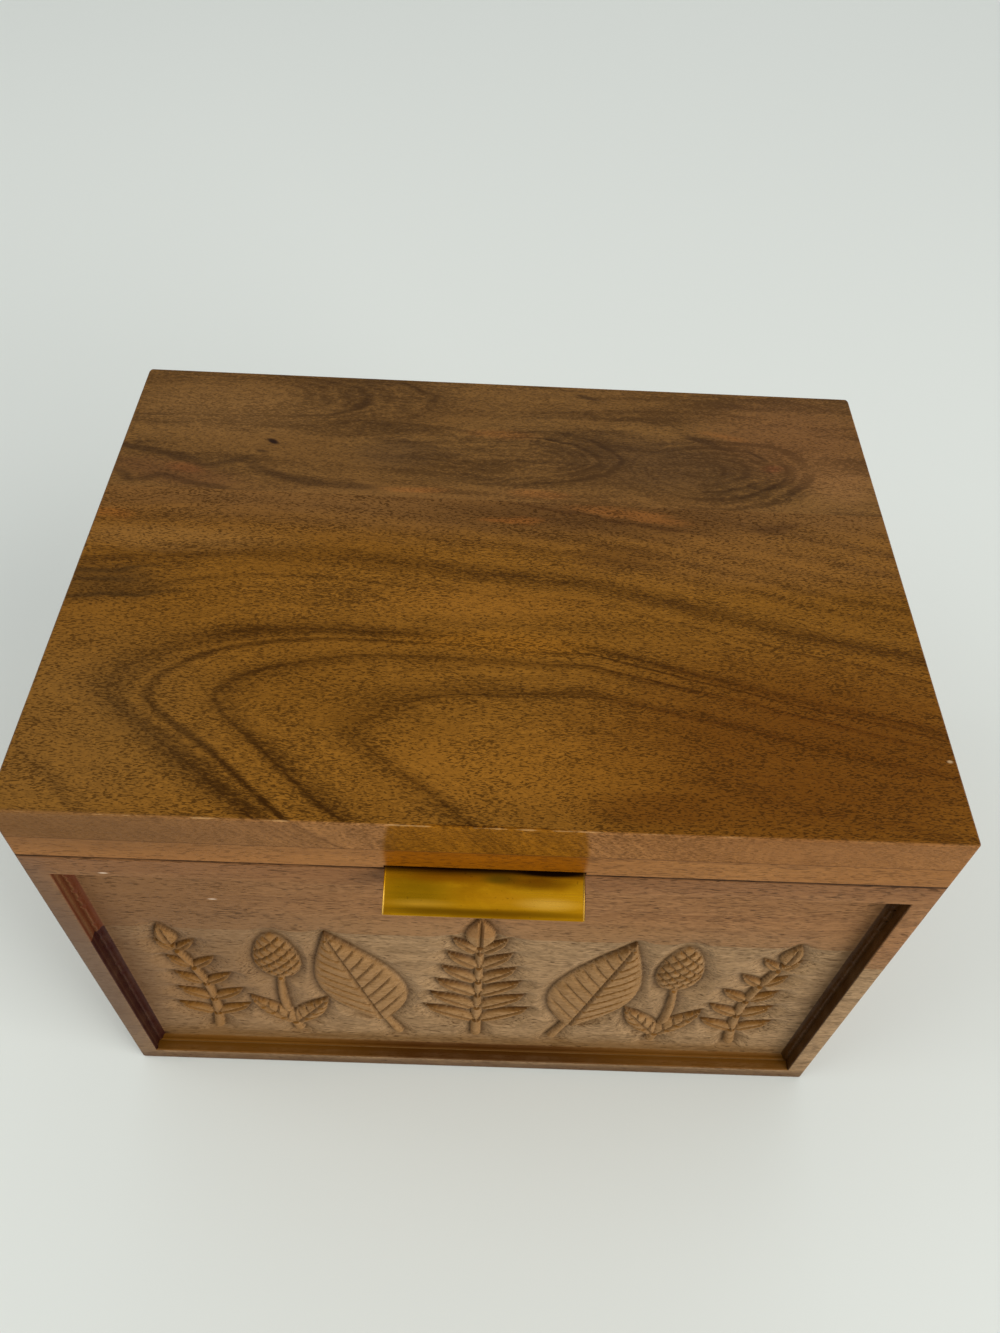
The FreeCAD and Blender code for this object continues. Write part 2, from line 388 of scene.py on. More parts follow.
    def use(self, group: bpy.types.NodeTree, **inputs: Value) -> bpy.types.NodeOutputs:
        """Adds a shared group.

        Args:
            group: The group.
            inputs: What feeds its inputs.

        Returns:
            The group's outputs.
        """
        node = self.tree.nodes.new("ShaderNodeGroup")
        node.node_tree = group
        for name, value in inputs.items():
            self.feed(node.inputs[name], value)
        return node.outputs


def new_material(name: str) -> tuple[bpy.types.Material, Graph, bpy.types.NodeInputs]:
    """Starts a material.

    Args:
        name: Name of the material.

    Returns:
        The material, the graph of its nodes and the inputs of its shader.
    """
    material = bpy.data.materials.new(name)
    material.use_nodes = True
    return material, Graph(material.node_tree), material.node_tree.nodes["Principled BSDF"].inputs


@dataclass
class Effects:
    """Shader groups that several finishes share, and the sizes of their patterns."""

    fibre_sway: Cloud = Cloud((24.0, 11.0, 11.0), 3.0, reach=(0.0, 10.0, 10.0))
    pore_sway: Cloud = Cloud((24.0, 11.0, 11.0), 3.0, reach=(0.0, 3.0, 3.0))
    pore_detail: float = 1.0
    pore_span: Span = (0.56, 0.66)
    pore_patches: Cloud = Cloud((18.0, 6.0, 6.0), shift=(31.0, 7.0, 3.0))
    patch_share: float = 0.25
    flecks: Cloud = Cloud((1.5, 0.6, 0.6), 3.0, (2.0, 6.0, 4.0), (0.32, 0.68))
    fibres: Cloud = Cloud((24.0, 0.8, 0.8), 4.0, (5.0, 9.0, 2.0), (0.28, 0.74))
    drift: Cloud = Cloud((46.0, 20.0, 20.0), 3.0, (17.0, 3.0, 11.0), (0.32, 0.68))
    ring_sway: Cloud = Cloud((75.0, 26.0, 26.0), 3.0, reach=(0.0, 22.0, 22.0))
    ring_stops: tuple[Span, ...] = ((0.0, 0.10), (0.45, 0.22), (0.82, 0.55), (0.93, 1.0), (1.0, 0.10))
    ring_strength: Cloud = Cloud((60.0, 14.0, 14.0), 2.0, (3.0, 5.0, 7.0), (0.30, 0.68), (0.25, 1.0))
    wear_reach: Cloud = Cloud((6.0, 6.0, 6.0), 9.0, span=(0.34, 0.68), levels=(0.06, 0.38))
    wear_off_seam: Span = (0.6, 1.4)
    # Noise and reach of the painted shadow line along the seam.
    seam_shade_noise: Cloud = Cloud((9.0, 9.0, 9.0), 4.0, (6.0, 2.0, 9.0), (0.34, 0.62), (0.45, 1.0))
    seam_shade_reach: Span = (0.55, 0.2)
    seam_shade_off_edge: Span = (1.2, 0.8)
    skin: Span = (0.45, 0.15)
    dull_clouds: Cloud = Cloud((11.0, 6.0, 6.0), 5.0, span=(0.36, 0.66))
    specks: Cloud = Cloud((0.7, 0.7, 0.7), 2.0, (4.0, 1.0, 8.0), (0.66, 0.76))
    rub_lines: Cloud = Cloud((14.0, 0.35, 0.35), 3.0, span=(0.30, 0.70))

    def __post_init__(self) -> None:
        """Builds each group once."""
        self.fibre = self.fibre_group()
        self.bands = self.band_group()
        self.edges = self.edge_group()
        self.patina = self.patina_group()

    @staticmethod
    def empty(
        name: str, inputs: dict[str, str], outputs: Iterable[str]
    ) -> tuple[Graph, dict[str, Socket], bpy.types.NodeInputs]:
        """Starts a group.

        Args:
            name: Name of the group.
            inputs: Kind of each input, Vector or Float.
            outputs: Names of its single-value outputs.

        Returns:
            Its graph, its inputs by name and the sockets of its outputs.
        """
        tree = bpy.data.node_groups.new(name, "ShaderNodeTree")
        for label, kind in inputs.items():
            tree.interface.new_socket(label, in_out="INPUT", socket_type=f"NodeSocket{kind}")
        for label in outputs:
            tree.interface.new_socket(label, in_out="OUTPUT", socket_type="NodeSocketFloat")
        start = tree.nodes.new("NodeGroupInput").outputs
        end = tree.nodes.new("NodeGroupOutput").inputs
        return Graph(tree), {label: start[label] for label in inputs}, end

    def fibre_group(self) -> bpy.types.NodeTree:
        """Draws the fine structure of open-pored wood, with the grain along the first axis.

        Returns:
            A group that gives dark pore dashes, flecks, fibres and a slow drift.
        """
        kinds = {"Place": "Vector", "Flow": "Vector", "Dash": "Vector", "Crowd": "Float"}
        graph, inputs, end = self.empty("wood_fibre", kinds, ("Pores", "Flecks", "Fibre", "Drift"))
        place = inputs["Flow"]
        swayed = graph.sway(place, self.fibre_sway, place)
        leaning = graph.sway(place, self.pore_sway, inputs["Place"])
        dashes = graph.noise(leaning, Cloud(inputs["Dash"], self.pore_detail)).outputs[0]
        patches = graph.math("SUBTRACT", graph.noise(place, self.pore_patches).outputs[0], HALF)
        crowd = graph.math("ADD", graph.math("MULTIPLY", patches, self.patch_share), inputs["Crowd"])
        graph.feed(end["Pores"], graph.step(graph.math("ADD", dashes, crowd), *self.pore_span))
        graph.feed(end["Flecks"], graph.grey(swayed, self.flecks))
        graph.feed(end["Fibre"], graph.grey(swayed, self.fibres))
        graph.feed(end["Drift"], graph.grey(place, self.drift))
        return graph.tree

    def band_group(self) -> bpy.types.NodeTree:
        """Draws growth rings round a trunk whose heart lies along the first axis.

        Returns:
            A group that gives the darkness of the rings.
        """
        graph, inputs, end = self.empty("wood_bands", {"Place": "Vector", "Gap": "Float"}, ("Bands",))
        place = inputs["Place"]
        swayed = graph.sway(place, self.ring_sway, place)
        from_heart = graph.vector("LENGTH", graph.vector("MULTIPLY", swayed, tuple(DEEP + UP)))
        turns = graph.math("DIVIDE", from_heart, inputs["Gap"])
        rings = graph.ramp(graph.math("FRACT", turns), self.ring_stops)
        graph.feed(end["Bands"], graph.math("MULTIPLY", rings, graph.grey(place, self.ring_strength)))
        return graph.tree

    def edge_group(self) -> bpy.types.NodeTree:
        """Finds the worn edges, the painted shadow line along the seam and the outer sides of a block.

        Returns:
            A group that gives 1 on worn edges, along the seam and on the sides across each level axis.
        """
        kinds = {"Place": "Vector", "Centre": "Vector", "Half": "Vector", "Seam": "Float"}
        graph, inputs, end = self.empty("block_edges", kinds, ("Wear", "SeamShade", "EndsX", "EndsY"))
        place = inputs["Place"]
        from_centre = graph.vector("ABSOLUTE", graph.vector("SUBTRACT", place, inputs["Centre"]))
        inward = graph.axes(graph.vector("SUBTRACT", inputs["Half"], from_centre))
        least, most, total = (
            graph.math(join, graph.math(join, inward[0], inward[1]), inward[2])
            for join in ("MINIMUM", "MAXIMUM", "ADD")
        )
        to_edge = graph.math("SUBTRACT", graph.math("SUBTRACT", total, least), most)
        height = graph.axes(place)[2]
        from_seam = graph.math("ABSOLUTE", graph.math("SUBTRACT", height, inputs["Seam"]))
        reach = graph.grey(place, self.wear_reach)
        worn = graph.math("SUBTRACT", 1.0, graph.math("DIVIDE", to_edge, reach), clamp=True)
        graph.feed(end["Wear"], graph.math("MULTIPLY", worn, graph.step(from_seam, *self.wear_off_seam)))
        # Painted shadow along the seam near the outer edges, broken up by noise.
        near_seam = graph.step(from_seam, *self.seam_shade_reach)
        seam_line = graph.math("MULTIPLY", near_seam, graph.step(to_edge, *self.seam_shade_off_edge))
        graph.feed(end["SeamShade"], graph.math("MULTIPLY", seam_line, graph.grey(place, self.seam_shade_noise)))
        graph.feed(end["EndsX"], graph.step(inward[0], *self.skin))
        graph.feed(end["EndsY"], graph.step(inward[1], *self.skin))
        return graph.tree

    def patina_group(self) -> bpy.types.NodeTree:
        """Draws the uneven ageing of handled brass.

        Returns:
            A group that gives dull patches, dark specks and fine rubbing lines.
        """
        clouds = {"Dull": self.dull_clouds, "Specks": self.specks, "Rubbing": self.rub_lines}
        graph, inputs, end = self.empty("brass_patina", {"Place": "Vector"}, clouds)
        for name, cloud in clouds.items():
            graph.feed(end[name], graph.grey(inputs["Place"], cloud))
        return graph.tree


@dataclass(frozen=True)
class Mark:
    """One mark, such as a streak, patch, knot, scuff, painted shade or painted highlight: an egg-shaped spot
    with a soft outline.
    """

    centre: Triple
    half: Triple
    colour: Colour
    share: float = 0.5
    turn: float = 0.0
    core_share: float = 0.2
    blend: str = "MIX"

    def lay(self, graph: Graph, colour: Socket, place: Socket) -> Socket:
        """Lays the mark over a colour.

        Args:
            graph: Tree of the material.
            colour: Colour under the mark.
            place: Place on the piece in millimetres.

        Returns:
            The marked colour.
        """
        turn = (0.0, 0.0, math.radians(self.turn))
        spot = {"Vector": place, "Location": self.centre, "Rotation": turn, "Scale": self.half}
        local = graph.add("ShaderNodeMapping", spot, vector_type="TEXTURE").outputs[0]
        cover = graph.step(graph.vector("LENGTH", local), 1.0, self.core_share, 0.0, self.share)
        return graph.mix(cover, colour, self.colour, self.blend)


def lid_marks(rows: Iterable[MarkRow]) -> tuple[Mark, ...]:
    """Lays marks on the lid's top.

    Args:
        rows: For each mark its place, half size, screen colour, cover and turn.

    Returns:
        The marks.
    """
    marks = []
    for spot, half, colour, share, turn in rows:
        marks.append(Mark((*spot, LID_TOP), half, tone(*colour), share, turn))
    return tuple(marks)


def trail(points: tuple[Spot, ...], half_width: float, colour: Triple, share: float) -> tuple[Mark, ...]:
    """Lays a streak along a row of points on the lid's top.

    Args:
        points: Places that the streak passes.
        half_width: Half of its width.
        colour: Its screen colour.
        share: How much it covers.

    Returns:
        One mark for each stretch between two points.
    """
    depth, overlap_share = 10.0, 1.05
    rows = []
    for start, end in zip(points, points[1:]):
        run = Vector(end) - Vector(start)
        middle = (Vector(end) + Vector(start)) / 2
        half = (run.length * overlap_share, half_width, depth)
        rows.append((middle, half, colour, share, math.degrees(math.atan2(run.y, run.x))))
    return lid_marks(rows)


@dataclass(frozen=True)
class WoodFinish:
    """Waxed open-pored wood of one board or one set of boards."""

    name: str
    light: Colour
    dark: Colour
    drift: Colour
    pore: Colour = tone(58, 36, 16)
    worn: Colour = tone(206, 164, 108)
    # Colour of the painted shadow in the seam gap.
    seam_shade: Colour = tone(26, 15, 8)
    side_light: Colour = tone(158, 109, 61)
    side_dark: Colour = tone(92, 59, 31)
    end: Colour = tone(104, 68, 40)
    grain: Grain = Grain.ACROSS
    heart: Triple = (0.0, 45.0, 30.0)
    dash: Triple = (1.8, 0.3, 0.3)
    crowd: float = 0.0
    tints: tuple[Mark, ...] = ()
    spots: tuple[Mark, ...] = ()
    wander: Cloud = Cloud((9.0, 3.0, 3.0), reach=(8.0, 3.5, 3.5))
    ring_gap: float = 8.0
    ring_share: float = 0.35
    ring_crowd: float = 0.0
    fibre_share: float = 0.35
    fleck_share: float = 0.20
    pore_share: float = 0.45
    drift_share: float = 0.5
    wear_share: float = 0.62
    wear_right_share: float = 1.0
    wear_right_span: Span = (0.0, 70.0)
    seam_shade_share: float = 0.85
    side_share: float = 0.0
    side_pore_share: float = 1.0
    end_share: float = 0.55
    pore_dull_share: float = 0.5
    fibre_relief_share: float = 0.3
    gloss: float = 0.18
    smooth: float = 0.46
    rough: float = 0.62
    relief: float = 0.4
    relief_depth: float = 0.1
    block: Block = BODY_BLOCK

    def figure(self, graph: Graph, place: Socket, effects: Effects) -> tuple[Socket, Socket]:
        """Draws the large figure of the board.

        Args:
            graph: Tree of the material.
            place: Place on the board in millimetres, with the grain along the first axis.
            effects: Shared groups.

        Returns:
            Darkness of the figure from 0 to 1, and the place that the fine structure follows.
        """
        local = graph.vector("ADD", place, self.heart)
        return graph.use(effects.bands, Place=local, Gap=self.ring_gap)["Bands"], local

    def stain_and_shade(self, graph: Graph, colour: Socket, place: Socket) -> Socket:
        """Lays a board's own staining and painted shade over its colour, none on a plain board."""
        return colour

    def wood_colour(
        self, graph: Graph, figure: Socket, fine: bpy.types.NodeOutputs, sides: Socket
    ) -> Socket:
        """Joins the figure and the fine structure into the colour of a board without pores.

        Args:
            graph: Tree of the material.
            figure: Darkness of the large figure.
            fine: Outputs of the fibre group.
            sides: 1 on the outer sides of the block.

        Returns:
            The colour.
        """
        shade = graph.math("MULTIPLY", figure, self.ring_share)
        for name, share in (("Fibre", self.fibre_share), ("Flecks", self.fleck_share)):
            shade = graph.math("ADD", shade, graph.math("MULTIPLY", fine[name], share), clamp=True)
        colour = graph.mix(shade, self.light, self.dark)
        colour = graph.cover(colour, fine["Drift"], self.drift_share, self.drift)
        edge = graph.mix(shade, self.side_light, self.side_dark)
        return graph.cover(colour, sides, self.side_share, edge)

    def marked(self, graph: Graph, colour: Socket, pores: Socket, place: Socket) -> Socket:
        """Lays tints, then pores, then spots, then staining and painted shade over a board's colour.

        Args:
            graph: Tree of the material.
            colour: Colour of the clean board.
            pores: 1 in the pores.
            place: Place on the board in millimetres.

        Returns:
            The marked colour.
        """
        swayed = graph.sway(place, self.wander, place)
        for tint in self.tints:
            colour = tint.lay(graph, colour, swayed)
        colour = graph.cover(colour, pores, self.pore_share, self.pore)
        for spot in self.spots:
            colour = spot.lay(graph, colour, place)
        return self.stain_and_shade(graph, colour, place)

    def aged(
        self, graph: Graph, colour: Socket, edges: bpy.types.NodeOutputs, ends: str, place: Socket
    ) -> Socket:
        """Darkens the end grain, then lays wear and the painted seam shadow over a board's colour.

        Args:
            graph: Tree of the material.
            colour: Colour of the marked board.
            edges: Outputs of the edge group.
            ends: Output that shows the end grain.
            place: Place on the board in millimetres.

        Returns:
            The aged colour.
        """
        worn_right = self.wear_share * self.wear_right_share
        worn = graph.step(graph.axes(place)[0], *self.wear_right_span, self.wear_share, worn_right)
        colour = graph.cover(colour, edges[ends], self.end_share, self.end)
        colour = graph.cover(colour, edges["Wear"], worn, self.worn)
        # The seam gap's shadow is painted on here.
        return graph.cover(colour, edges["SeamShade"], self.seam_shade_share, self.seam_shade)

    def build(self, effects: Effects) -> bpy.types.Material:
        """Makes the material.

        Args:
            effects: Shared groups.

        Returns:
            The finished material.
        """
        material, graph, shader = new_material(self.name)
        plain = graph.millimetres()
        turn = (0.0, 0.0, -math.radians(self.grain.value))
        place = graph.add("ShaderNodeMapping", {"Vector": plain, "Rotation": turn}).outputs[0]
        figure, flow = self.figure(graph, place, effects)
        crowd = graph.math("ADD", graph.math("MULTIPLY", figure, self.ring_crowd), self.crowd)
        fine = graph.use(effects.fibre, Place=place, Flow=flow, Dash=self.dash, Crowd=crowd)
        low, high = (Vector(corner) for corner in self.block)
        sizes = {"Centre": tuple((low + high) / 2), "Half": tuple((high - low) / 2)}
        edges = graph.use(effects.edges, Place=plain, Seam=SEAM, **sizes)
        ends, sides = ("EndsX", "EndsY") if self.grain is Grain.ACROSS else ("EndsY", "EndsX")
        open_share = graph.step(edges[sides], *FULL, 1.0, self.side_pore_share)
        open_pores = graph.math("MULTIPLY", fine["Pores"], open_share)
        clean = self.wood_colour(graph, figure, fine, edges[sides])
        marked = self.marked(graph, clean, open_pores, plain)
        graph.feed(shader["Base Color"], self.aged(graph, marked, edges, ends, plain))
        pores = graph.math("MULTIPLY", fine["Pores"], self.pore_dull_share)
        drift = graph.math("MULTIPLY", fine["Drift"], 1.0 - self.pore_dull_share)
        dull = graph.math("ADD", pores, drift)
        graph.feed(shader["Roughness"], graph.step(dull, *FULL, self.smooth, self.rough))
        shader["Specular IOR Level"].default_value = self.gloss
        fibres = graph.math("MULTIPLY", fine["Fibre"], self.fibre_relief_share)
        height = graph.math("SUBTRACT", fibres, fine["Pores"])
        graph.feed(shader["Normal"], graph.bump(height, self.relief, self.relief_depth))
        return material


@dataclass(frozen=True)
class CarvedFinish(WoodFinish):
    """Wood of the carved front: painted shade with staining darkens the cuts and the recess's walls, a
    painted warm tone lies on what faces up, and staining warms the ornament.
    """

    # Painted shade with staining on the recess walls, with its own tone on the right wall, and in the cuts.
    wall_shade_and_stain: Colour = tone(44, 16, 11)
    right_wall_shade_and_stain: Colour = tone(56, 30, 3)
    cut_shade_and_stain: Colour = tone(62, 38, 14)
    ornament_stain: Colour = tone(138, 94, 40)
    # Painted warm tone on what faces up, standing for how light falls on it.
    up_facing_painted_tone: Colour = tone(66, 34, 0)
    up_facing_end_painted_tone: Colour = tone(96, 58, 8)
    ledge_end_span: Span = (12.0, 52.0)
    right_span: Span = (-40.0, 40.0)
    rim_span: Span = (105.0, 104.0)
    up_span: Span = (0.2, 0.8)
    patches: Cloud = Cloud((6.0, 6.0, 6.0), 3.0, span=(0.2, 0.7), levels=(0.88, 1.0))
    wall_full: float = 0.62
    wall_shade_share: float = 1.0
    ornament_share: float = 0.4
    cut_shade_share: float = 0.7
    up_facing_painted_share: float = 0.95

    def stain_and_shade(self, graph: Graph, colour: Socket, place: Socket) -> Socket:
        """Paints shade with staining into the cuts and onto the recess's walls, paints a warm tone by facing
        onto what faces up, and tints the ornament.

        Args:
            graph: Tree of the material.
            colour: Colour of the clean board.
            place: Place on the board in millimetres.

        Returns:
            The stained colour.
        """
        # Faces that look up get a warm tone by their facing: painted light.
        facing = graph.add("ShaderNodeTexCoord", {}).outputs["Normal"]
        upward = graph.step(graph.vector("DOT_PRODUCT", facing, tuple(UP)), *self.up_span)
        patch = graph.grey(place, self.patches)
        across, _, height = graph.axes(place)
        wall_shade_and_stain = graph.mix(graph.step(across, *self.right_span), self.wall_shade_and_stain, self.right_wall_shade_and_stain)
        to_end = graph.step(graph.math("ABSOLUTE", across), *self.ledge_end_span)
        up_facing_painted_tone = graph.mix(to_end, self.up_facing_painted_tone, self.up_facing_end_painted_tone)
        ledges = graph.math("MULTIPLY", upward, graph.step(height, *self.rim_span))
        walls = graph.step(graph.attribute(WALL_LAYER), 0.0, self.wall_full)
        layers = (
            (ledges, self.up_facing_painted_share, up_facing_painted_tone),
            (graph.attribute(ORNAMENT_LAYER), self.ornament_share, self.ornament_stain),
            (graph.attribute(CUT_LAYER), self.cut_shade_share, self.cut_shade_and_stain),
            (walls, self.wall_shade_share, wall_shade_and_stain),
        )
        for mask, share, tint in layers:
            colour = graph.cover(colour, graph.math("MULTIPLY", mask, share), patch, tint)
        return colour


@dataclass(frozen=True)
class LidFrontFinish(WoodFinish):
    """Front board of the lid: nested arches of growth rings that open to the right.

    Each row of the arches gives the place of a tip, its level, and its reach inward and outward.
    """

    axis_height: float = -54.5
    axis_fall: float = 0.287
    ring_slant: float = 0.7
    turn_place: float = 20.0
    turn_share: float = 0.12
    inner_width: float = 15.4
    outer_width: float = 20.0
    outer_span: Span = (-80.0, -110.0)
    flat_from: float = -53.0
    flat_share: float = 0.4
    limb_fall: float = 0.85
    limb_height: float = 50.0
    limb_pitch: float = 0.69
    tip_round: float = 6.0
    tip_origin: float = 40.0
    arch_reach: float = 540.0
    flow_scale: float = 8.0
    edge_span: Span = (-64.9, -64.3)
    edge_share: float = 0.35
    slow_sway: Cloud = Cloud((40.0, 22.0, 22.0), reach=(7.0, 3.0, 2.0))
    quick_sway: Cloud = Cloud((1.6, 0.9, 0.9), 3.0, reach=(0.9, 0.3, 0.3))
    strength: Cloud = Cloud((30.0, 14.0, 14.0), 2.0, (9.0, 4.0, 2.0), (0.30, 0.62), (0.7, 1.0))
    arch_lines: tuple[ArchRow, ...] = (
        (65.5, 0.70, 1.6, 1.6),
        (92.5, 0.88, 2.0, 1.5),
        (105.5, 1.0, 1.7, 1.5),
        (113.5, 1.0, 2.6, 2.0),
        (149.0, 0.42, 2.2, 2.2),
        (178.0, 0.34, 2.4, 2.4),
        (232.0, 0.28, 2.9, 2.9),
        (262.0, 0.34, 3.1, 3.1),
        (300.0, 0.32, 3.4, 3.4),
        (345.0, 0.35, 3.8, 3.8),
    )
    arch_bands: tuple[ArchRow, ...] = (
        (27.0, 0.18, 6.0, 5.0),
        (65.0, 0.40, 4.0, 11.0),
        (92.5, 0.42, 8.0, 4.0),
        (112.0, 0.62, 6.0, 13.0),
        (178.0, 0.45, 20.0, 20.0),
        (232.0, 0.25, 14.0, 12.0),
        (262.0, 0.36, 14.0, 16.0),
        (300.0, 0.32, 16.0, 14.0),
        (345.0, 0.38, 20.0, 16.0),
        (400.0, 0.35, 24.0, 24.0),
    )

    def tips(self, graph: Graph, place: Socket) -> Socket:
        """Finds how far left the arch through each point has its tip.

        Args:
            graph: Tree of the material.
            place: Place on the board in millimetres.

        Returns:
            Distance of the tip from its origin, growing to the left.
        """
        across, deep, up = graph.axes(place)
        sunk = graph.math("MULTIPLY", graph.math("SUBTRACT", up, LID_TOP), self.ring_slant)
        level = graph.math("ADD", deep, sunk)
        flat = graph.math("MULTIPLY", graph.math("SUBTRACT", across, self.flat_from), self.flat_share)
        bent = graph.math("MAXIMUM", across, graph.math("ADD", flat, self.flat_from))
        axis = graph.math("SUBTRACT", self.axis_height, graph.math("MULTIPLY", bent, self.axis_fall))
        squared = graph.math("POWER", graph.math("ABSOLUTE", graph.math("SUBTRACT", level, axis)), 2.0)
        past = graph.math("MULTIPLY", graph.math("SUBTRACT", across, self.turn_place), self.turn_share)
        turned = graph.math("MINIMUM", across, graph.math("ADD", past, self.turn_place))
        middle_width = (self.inner_width + self.outer_width) / 2
        rough = graph.math("SUBTRACT", turned, graph.math("DIVIDE", squared, middle_width))
        width = graph.step(rough, *self.outer_span, self.inner_width, self.outer_width)
        upper = graph.math("SUBTRACT", turned, graph.math("DIVIDE", squared, width))
        slope = graph.math("ADD", level, graph.math("MULTIPLY", across, self.limb_fall))
        lower = graph.math("DIVIDE", graph.math("ADD", slope, self.limb_height), self.limb_pitch)
        tip = graph.math("SMOOTH_MIN", upper, lower, self.tip_round)
        return graph.math("MAXIMUM", graph.math("SUBTRACT", self.tip_origin, tip), 0.0)

    def peaks(self, graph: Graph, tip: Socket, rows: Iterable[ArchRow]) -> Socket:
        """Draws one peak for each row.

        Args:
            graph: Tree of the material.
            tip: Distance of the arch's tip from the origin of the tips.
            rows: The lines or the bands.

        Returns:
            The level.
        """
        stops = []
        for line, level, inner, outer in rows:
            stops += [(line - inner, 0.0), (line, level), (line + outer, 0.0)]
        shares = [(stop / self.arch_reach, level) for stop, level in stops]
        return graph.ramp(graph.math("DIVIDE", tip, self.arch_reach), shares)

    def figure(self, graph: Graph, place: Socket, effects: Effects) -> tuple[Socket, Socket]:
        """Draws the arches, fainter on the board's front edge.

        Args:
            graph: Tree of the material.
            place: Place on the board in millimetres.
            effects: Shared groups.

        Returns:
            Darkness of the arches from 0 to 1, and a place whose second axis runs across them.
        """
        moved = graph.sway(place, self.slow_sway, place)
        tip = self.tips(graph, graph.sway(place, self.quick_sway, moved))
        lines = self.peaks(graph, tip, self.arch_lines)
        arches = graph.math("MAXIMUM", lines, self.peaks(graph, tip, self.arch_bands))
        across, deep, _ = graph.axes(place)
        on_top = graph.step(deep, *self.edge_span, self.edge_share, 1.0)
        strength = graph.math("MULTIPLY", graph.grey(place, self.strength), on_top)
        ring = graph.math("MULTIPLY", graph.math("SQRT", tip), self.flow_scale)
        flow = graph.add("ShaderNodeCombineXYZ", {0: across, 1: ring, 2: deep}).outputs[0]
        return graph.math("MULTIPLY", arches, strength), flow


@dataclass(frozen=True)
class Eddy:
    """Closed rings of the figure round one point of a board, with hair lines between them."""

    centre: Spot
    stretch: float
    rings: tuple[Span, ...]
    ring_half: float = 1.0
    rest_level: float = 0.16
    hair_gap: float = 0.55
    hair_share: float = 0.34
    hair_fade_share: float = 0.7
    fade: float = 2.5
    left_share: float = 0.45
    left_from_share: float = -0.5
    left_to_share: float = 0.25

    def draw(self, graph: Graph, place: Socket) -> Socket:
        """Draws the rings.

        Args:
            graph: Tree of the material.
            place: Place on the board in millimetres.

        Returns:
            Darkness of the rings from 0 to 1.
        """
        spot = {"Vector": place, "Location": (*self.centre, LID_TOP), "Scale": (self.stretch, 1.0, 1.0)}
        local = graph.add("ShaderNodeMapping", spot, vector_type="TEXTURE").outputs[0]
        stops = [(self.rings[0][0] - self.fade, 0.0)]
        for line, level in self.rings:
            sides = ((-self.ring_half, self.rest_level), (0.0, level), (self.ring_half, self.rest_level))
            stops += [(line + aside, side_level) for aside, side_level in sides]
        reach = self.rings[-1][0] + self.fade
        stops.append((reach, 0.0))
        distance = graph.vector("LENGTH", local)
        radius = graph.math("DIVIDE", distance, reach)
        rings = graph.ramp(radius, [(line / reach, level) for line, level in stops])
        hairs = graph.math("DIVIDE", graph.math("PINGPONG", distance, self.hair_gap), self.hair_gap)
        hair_share = graph.step(radius, 1.0, self.hair_fade_share, 0.0, self.hair_share)
        rings = graph.math("ADD", rings, graph.math("MULTIPLY", hairs, hair_share))
        left_span = (reach * self.left_from_share, reach * self.left_to_share)
        shown = graph.step(graph.axes(local)[0], *left_span, self.left_share, 1.0)
        return graph.math("MULTIPLY", rings, shown)


@dataclass(frozen=True)
class LidRearFinish(WoodFinish):
    """Rear board of the lid: greyer, with streaks and eddies in the figure."""

    streak_share: float = 0.5
    slow_sway: Cloud = Cloud((30.0, 12.0, 12.0), 3.0, reach=(14.0, 7.0, 6.0))
    quick_sway: Cloud = Cloud((2.2, 1.1, 1.1), 3.0, reach=(1.6, 1.0, 1.0))
    streaks: Cloud = Cloud((40.0, 4.5, 7.0), 3.0, (13.0, 2.0, 5.0), (0.44, 0.70))
    clear: Cloud = Cloud((9.0, 5.0, 5.0), 2.0, (4.0, 8.0, 1.0), (0.34, 0.58), (0.5, 1.0))
    eddies: tuple[Eddy, ...] = (
        Eddy((50.0, 34.0), 1.95, ((3.0, 0.5), (5.2, 0.58), (7.4, 0.56), (9.6, 0.6), (12.2, 0.66))),
        Eddy((6.0, 37.0), 2.5, ((5.6, 0.35), (7.4, 0.55), (9.4, 0.7)), left_share=0.0),
        Eddy((-70.0, 56.0), 4.2, ((6.8, 0.25), (9.2, 0.55), (12.6, 0.5))),
    )

    def figure(self, graph: Graph, place: Socket, effects: Effects) -> tuple[Socket, Socket]:
        """Draws the streaks and the eddies.

        Args:
            graph: Tree of the material.
            place: Place on the board in millimetres.
            effects: Shared groups.

        Returns:
            Darkness of the figure from 0 to 1, and the place that the fine structure follows.
        """
        moved = graph.sway(place, self.slow_sway, place)
        moved = graph.sway(place, self.quick_sway, moved)
        darkness = graph.math("MULTIPLY", graph.grey(moved, self.streaks), self.streak_share)
        clear = graph.grey(place, self.clear)
        for eddy in self.eddies:
            rings = graph.math("MULTIPLY", eddy.draw(graph, moved), clear)
            darkness = graph.math("MAXIMUM", darkness, rings)
        return darkness, graph.vector("ADD", moved, self.heart)


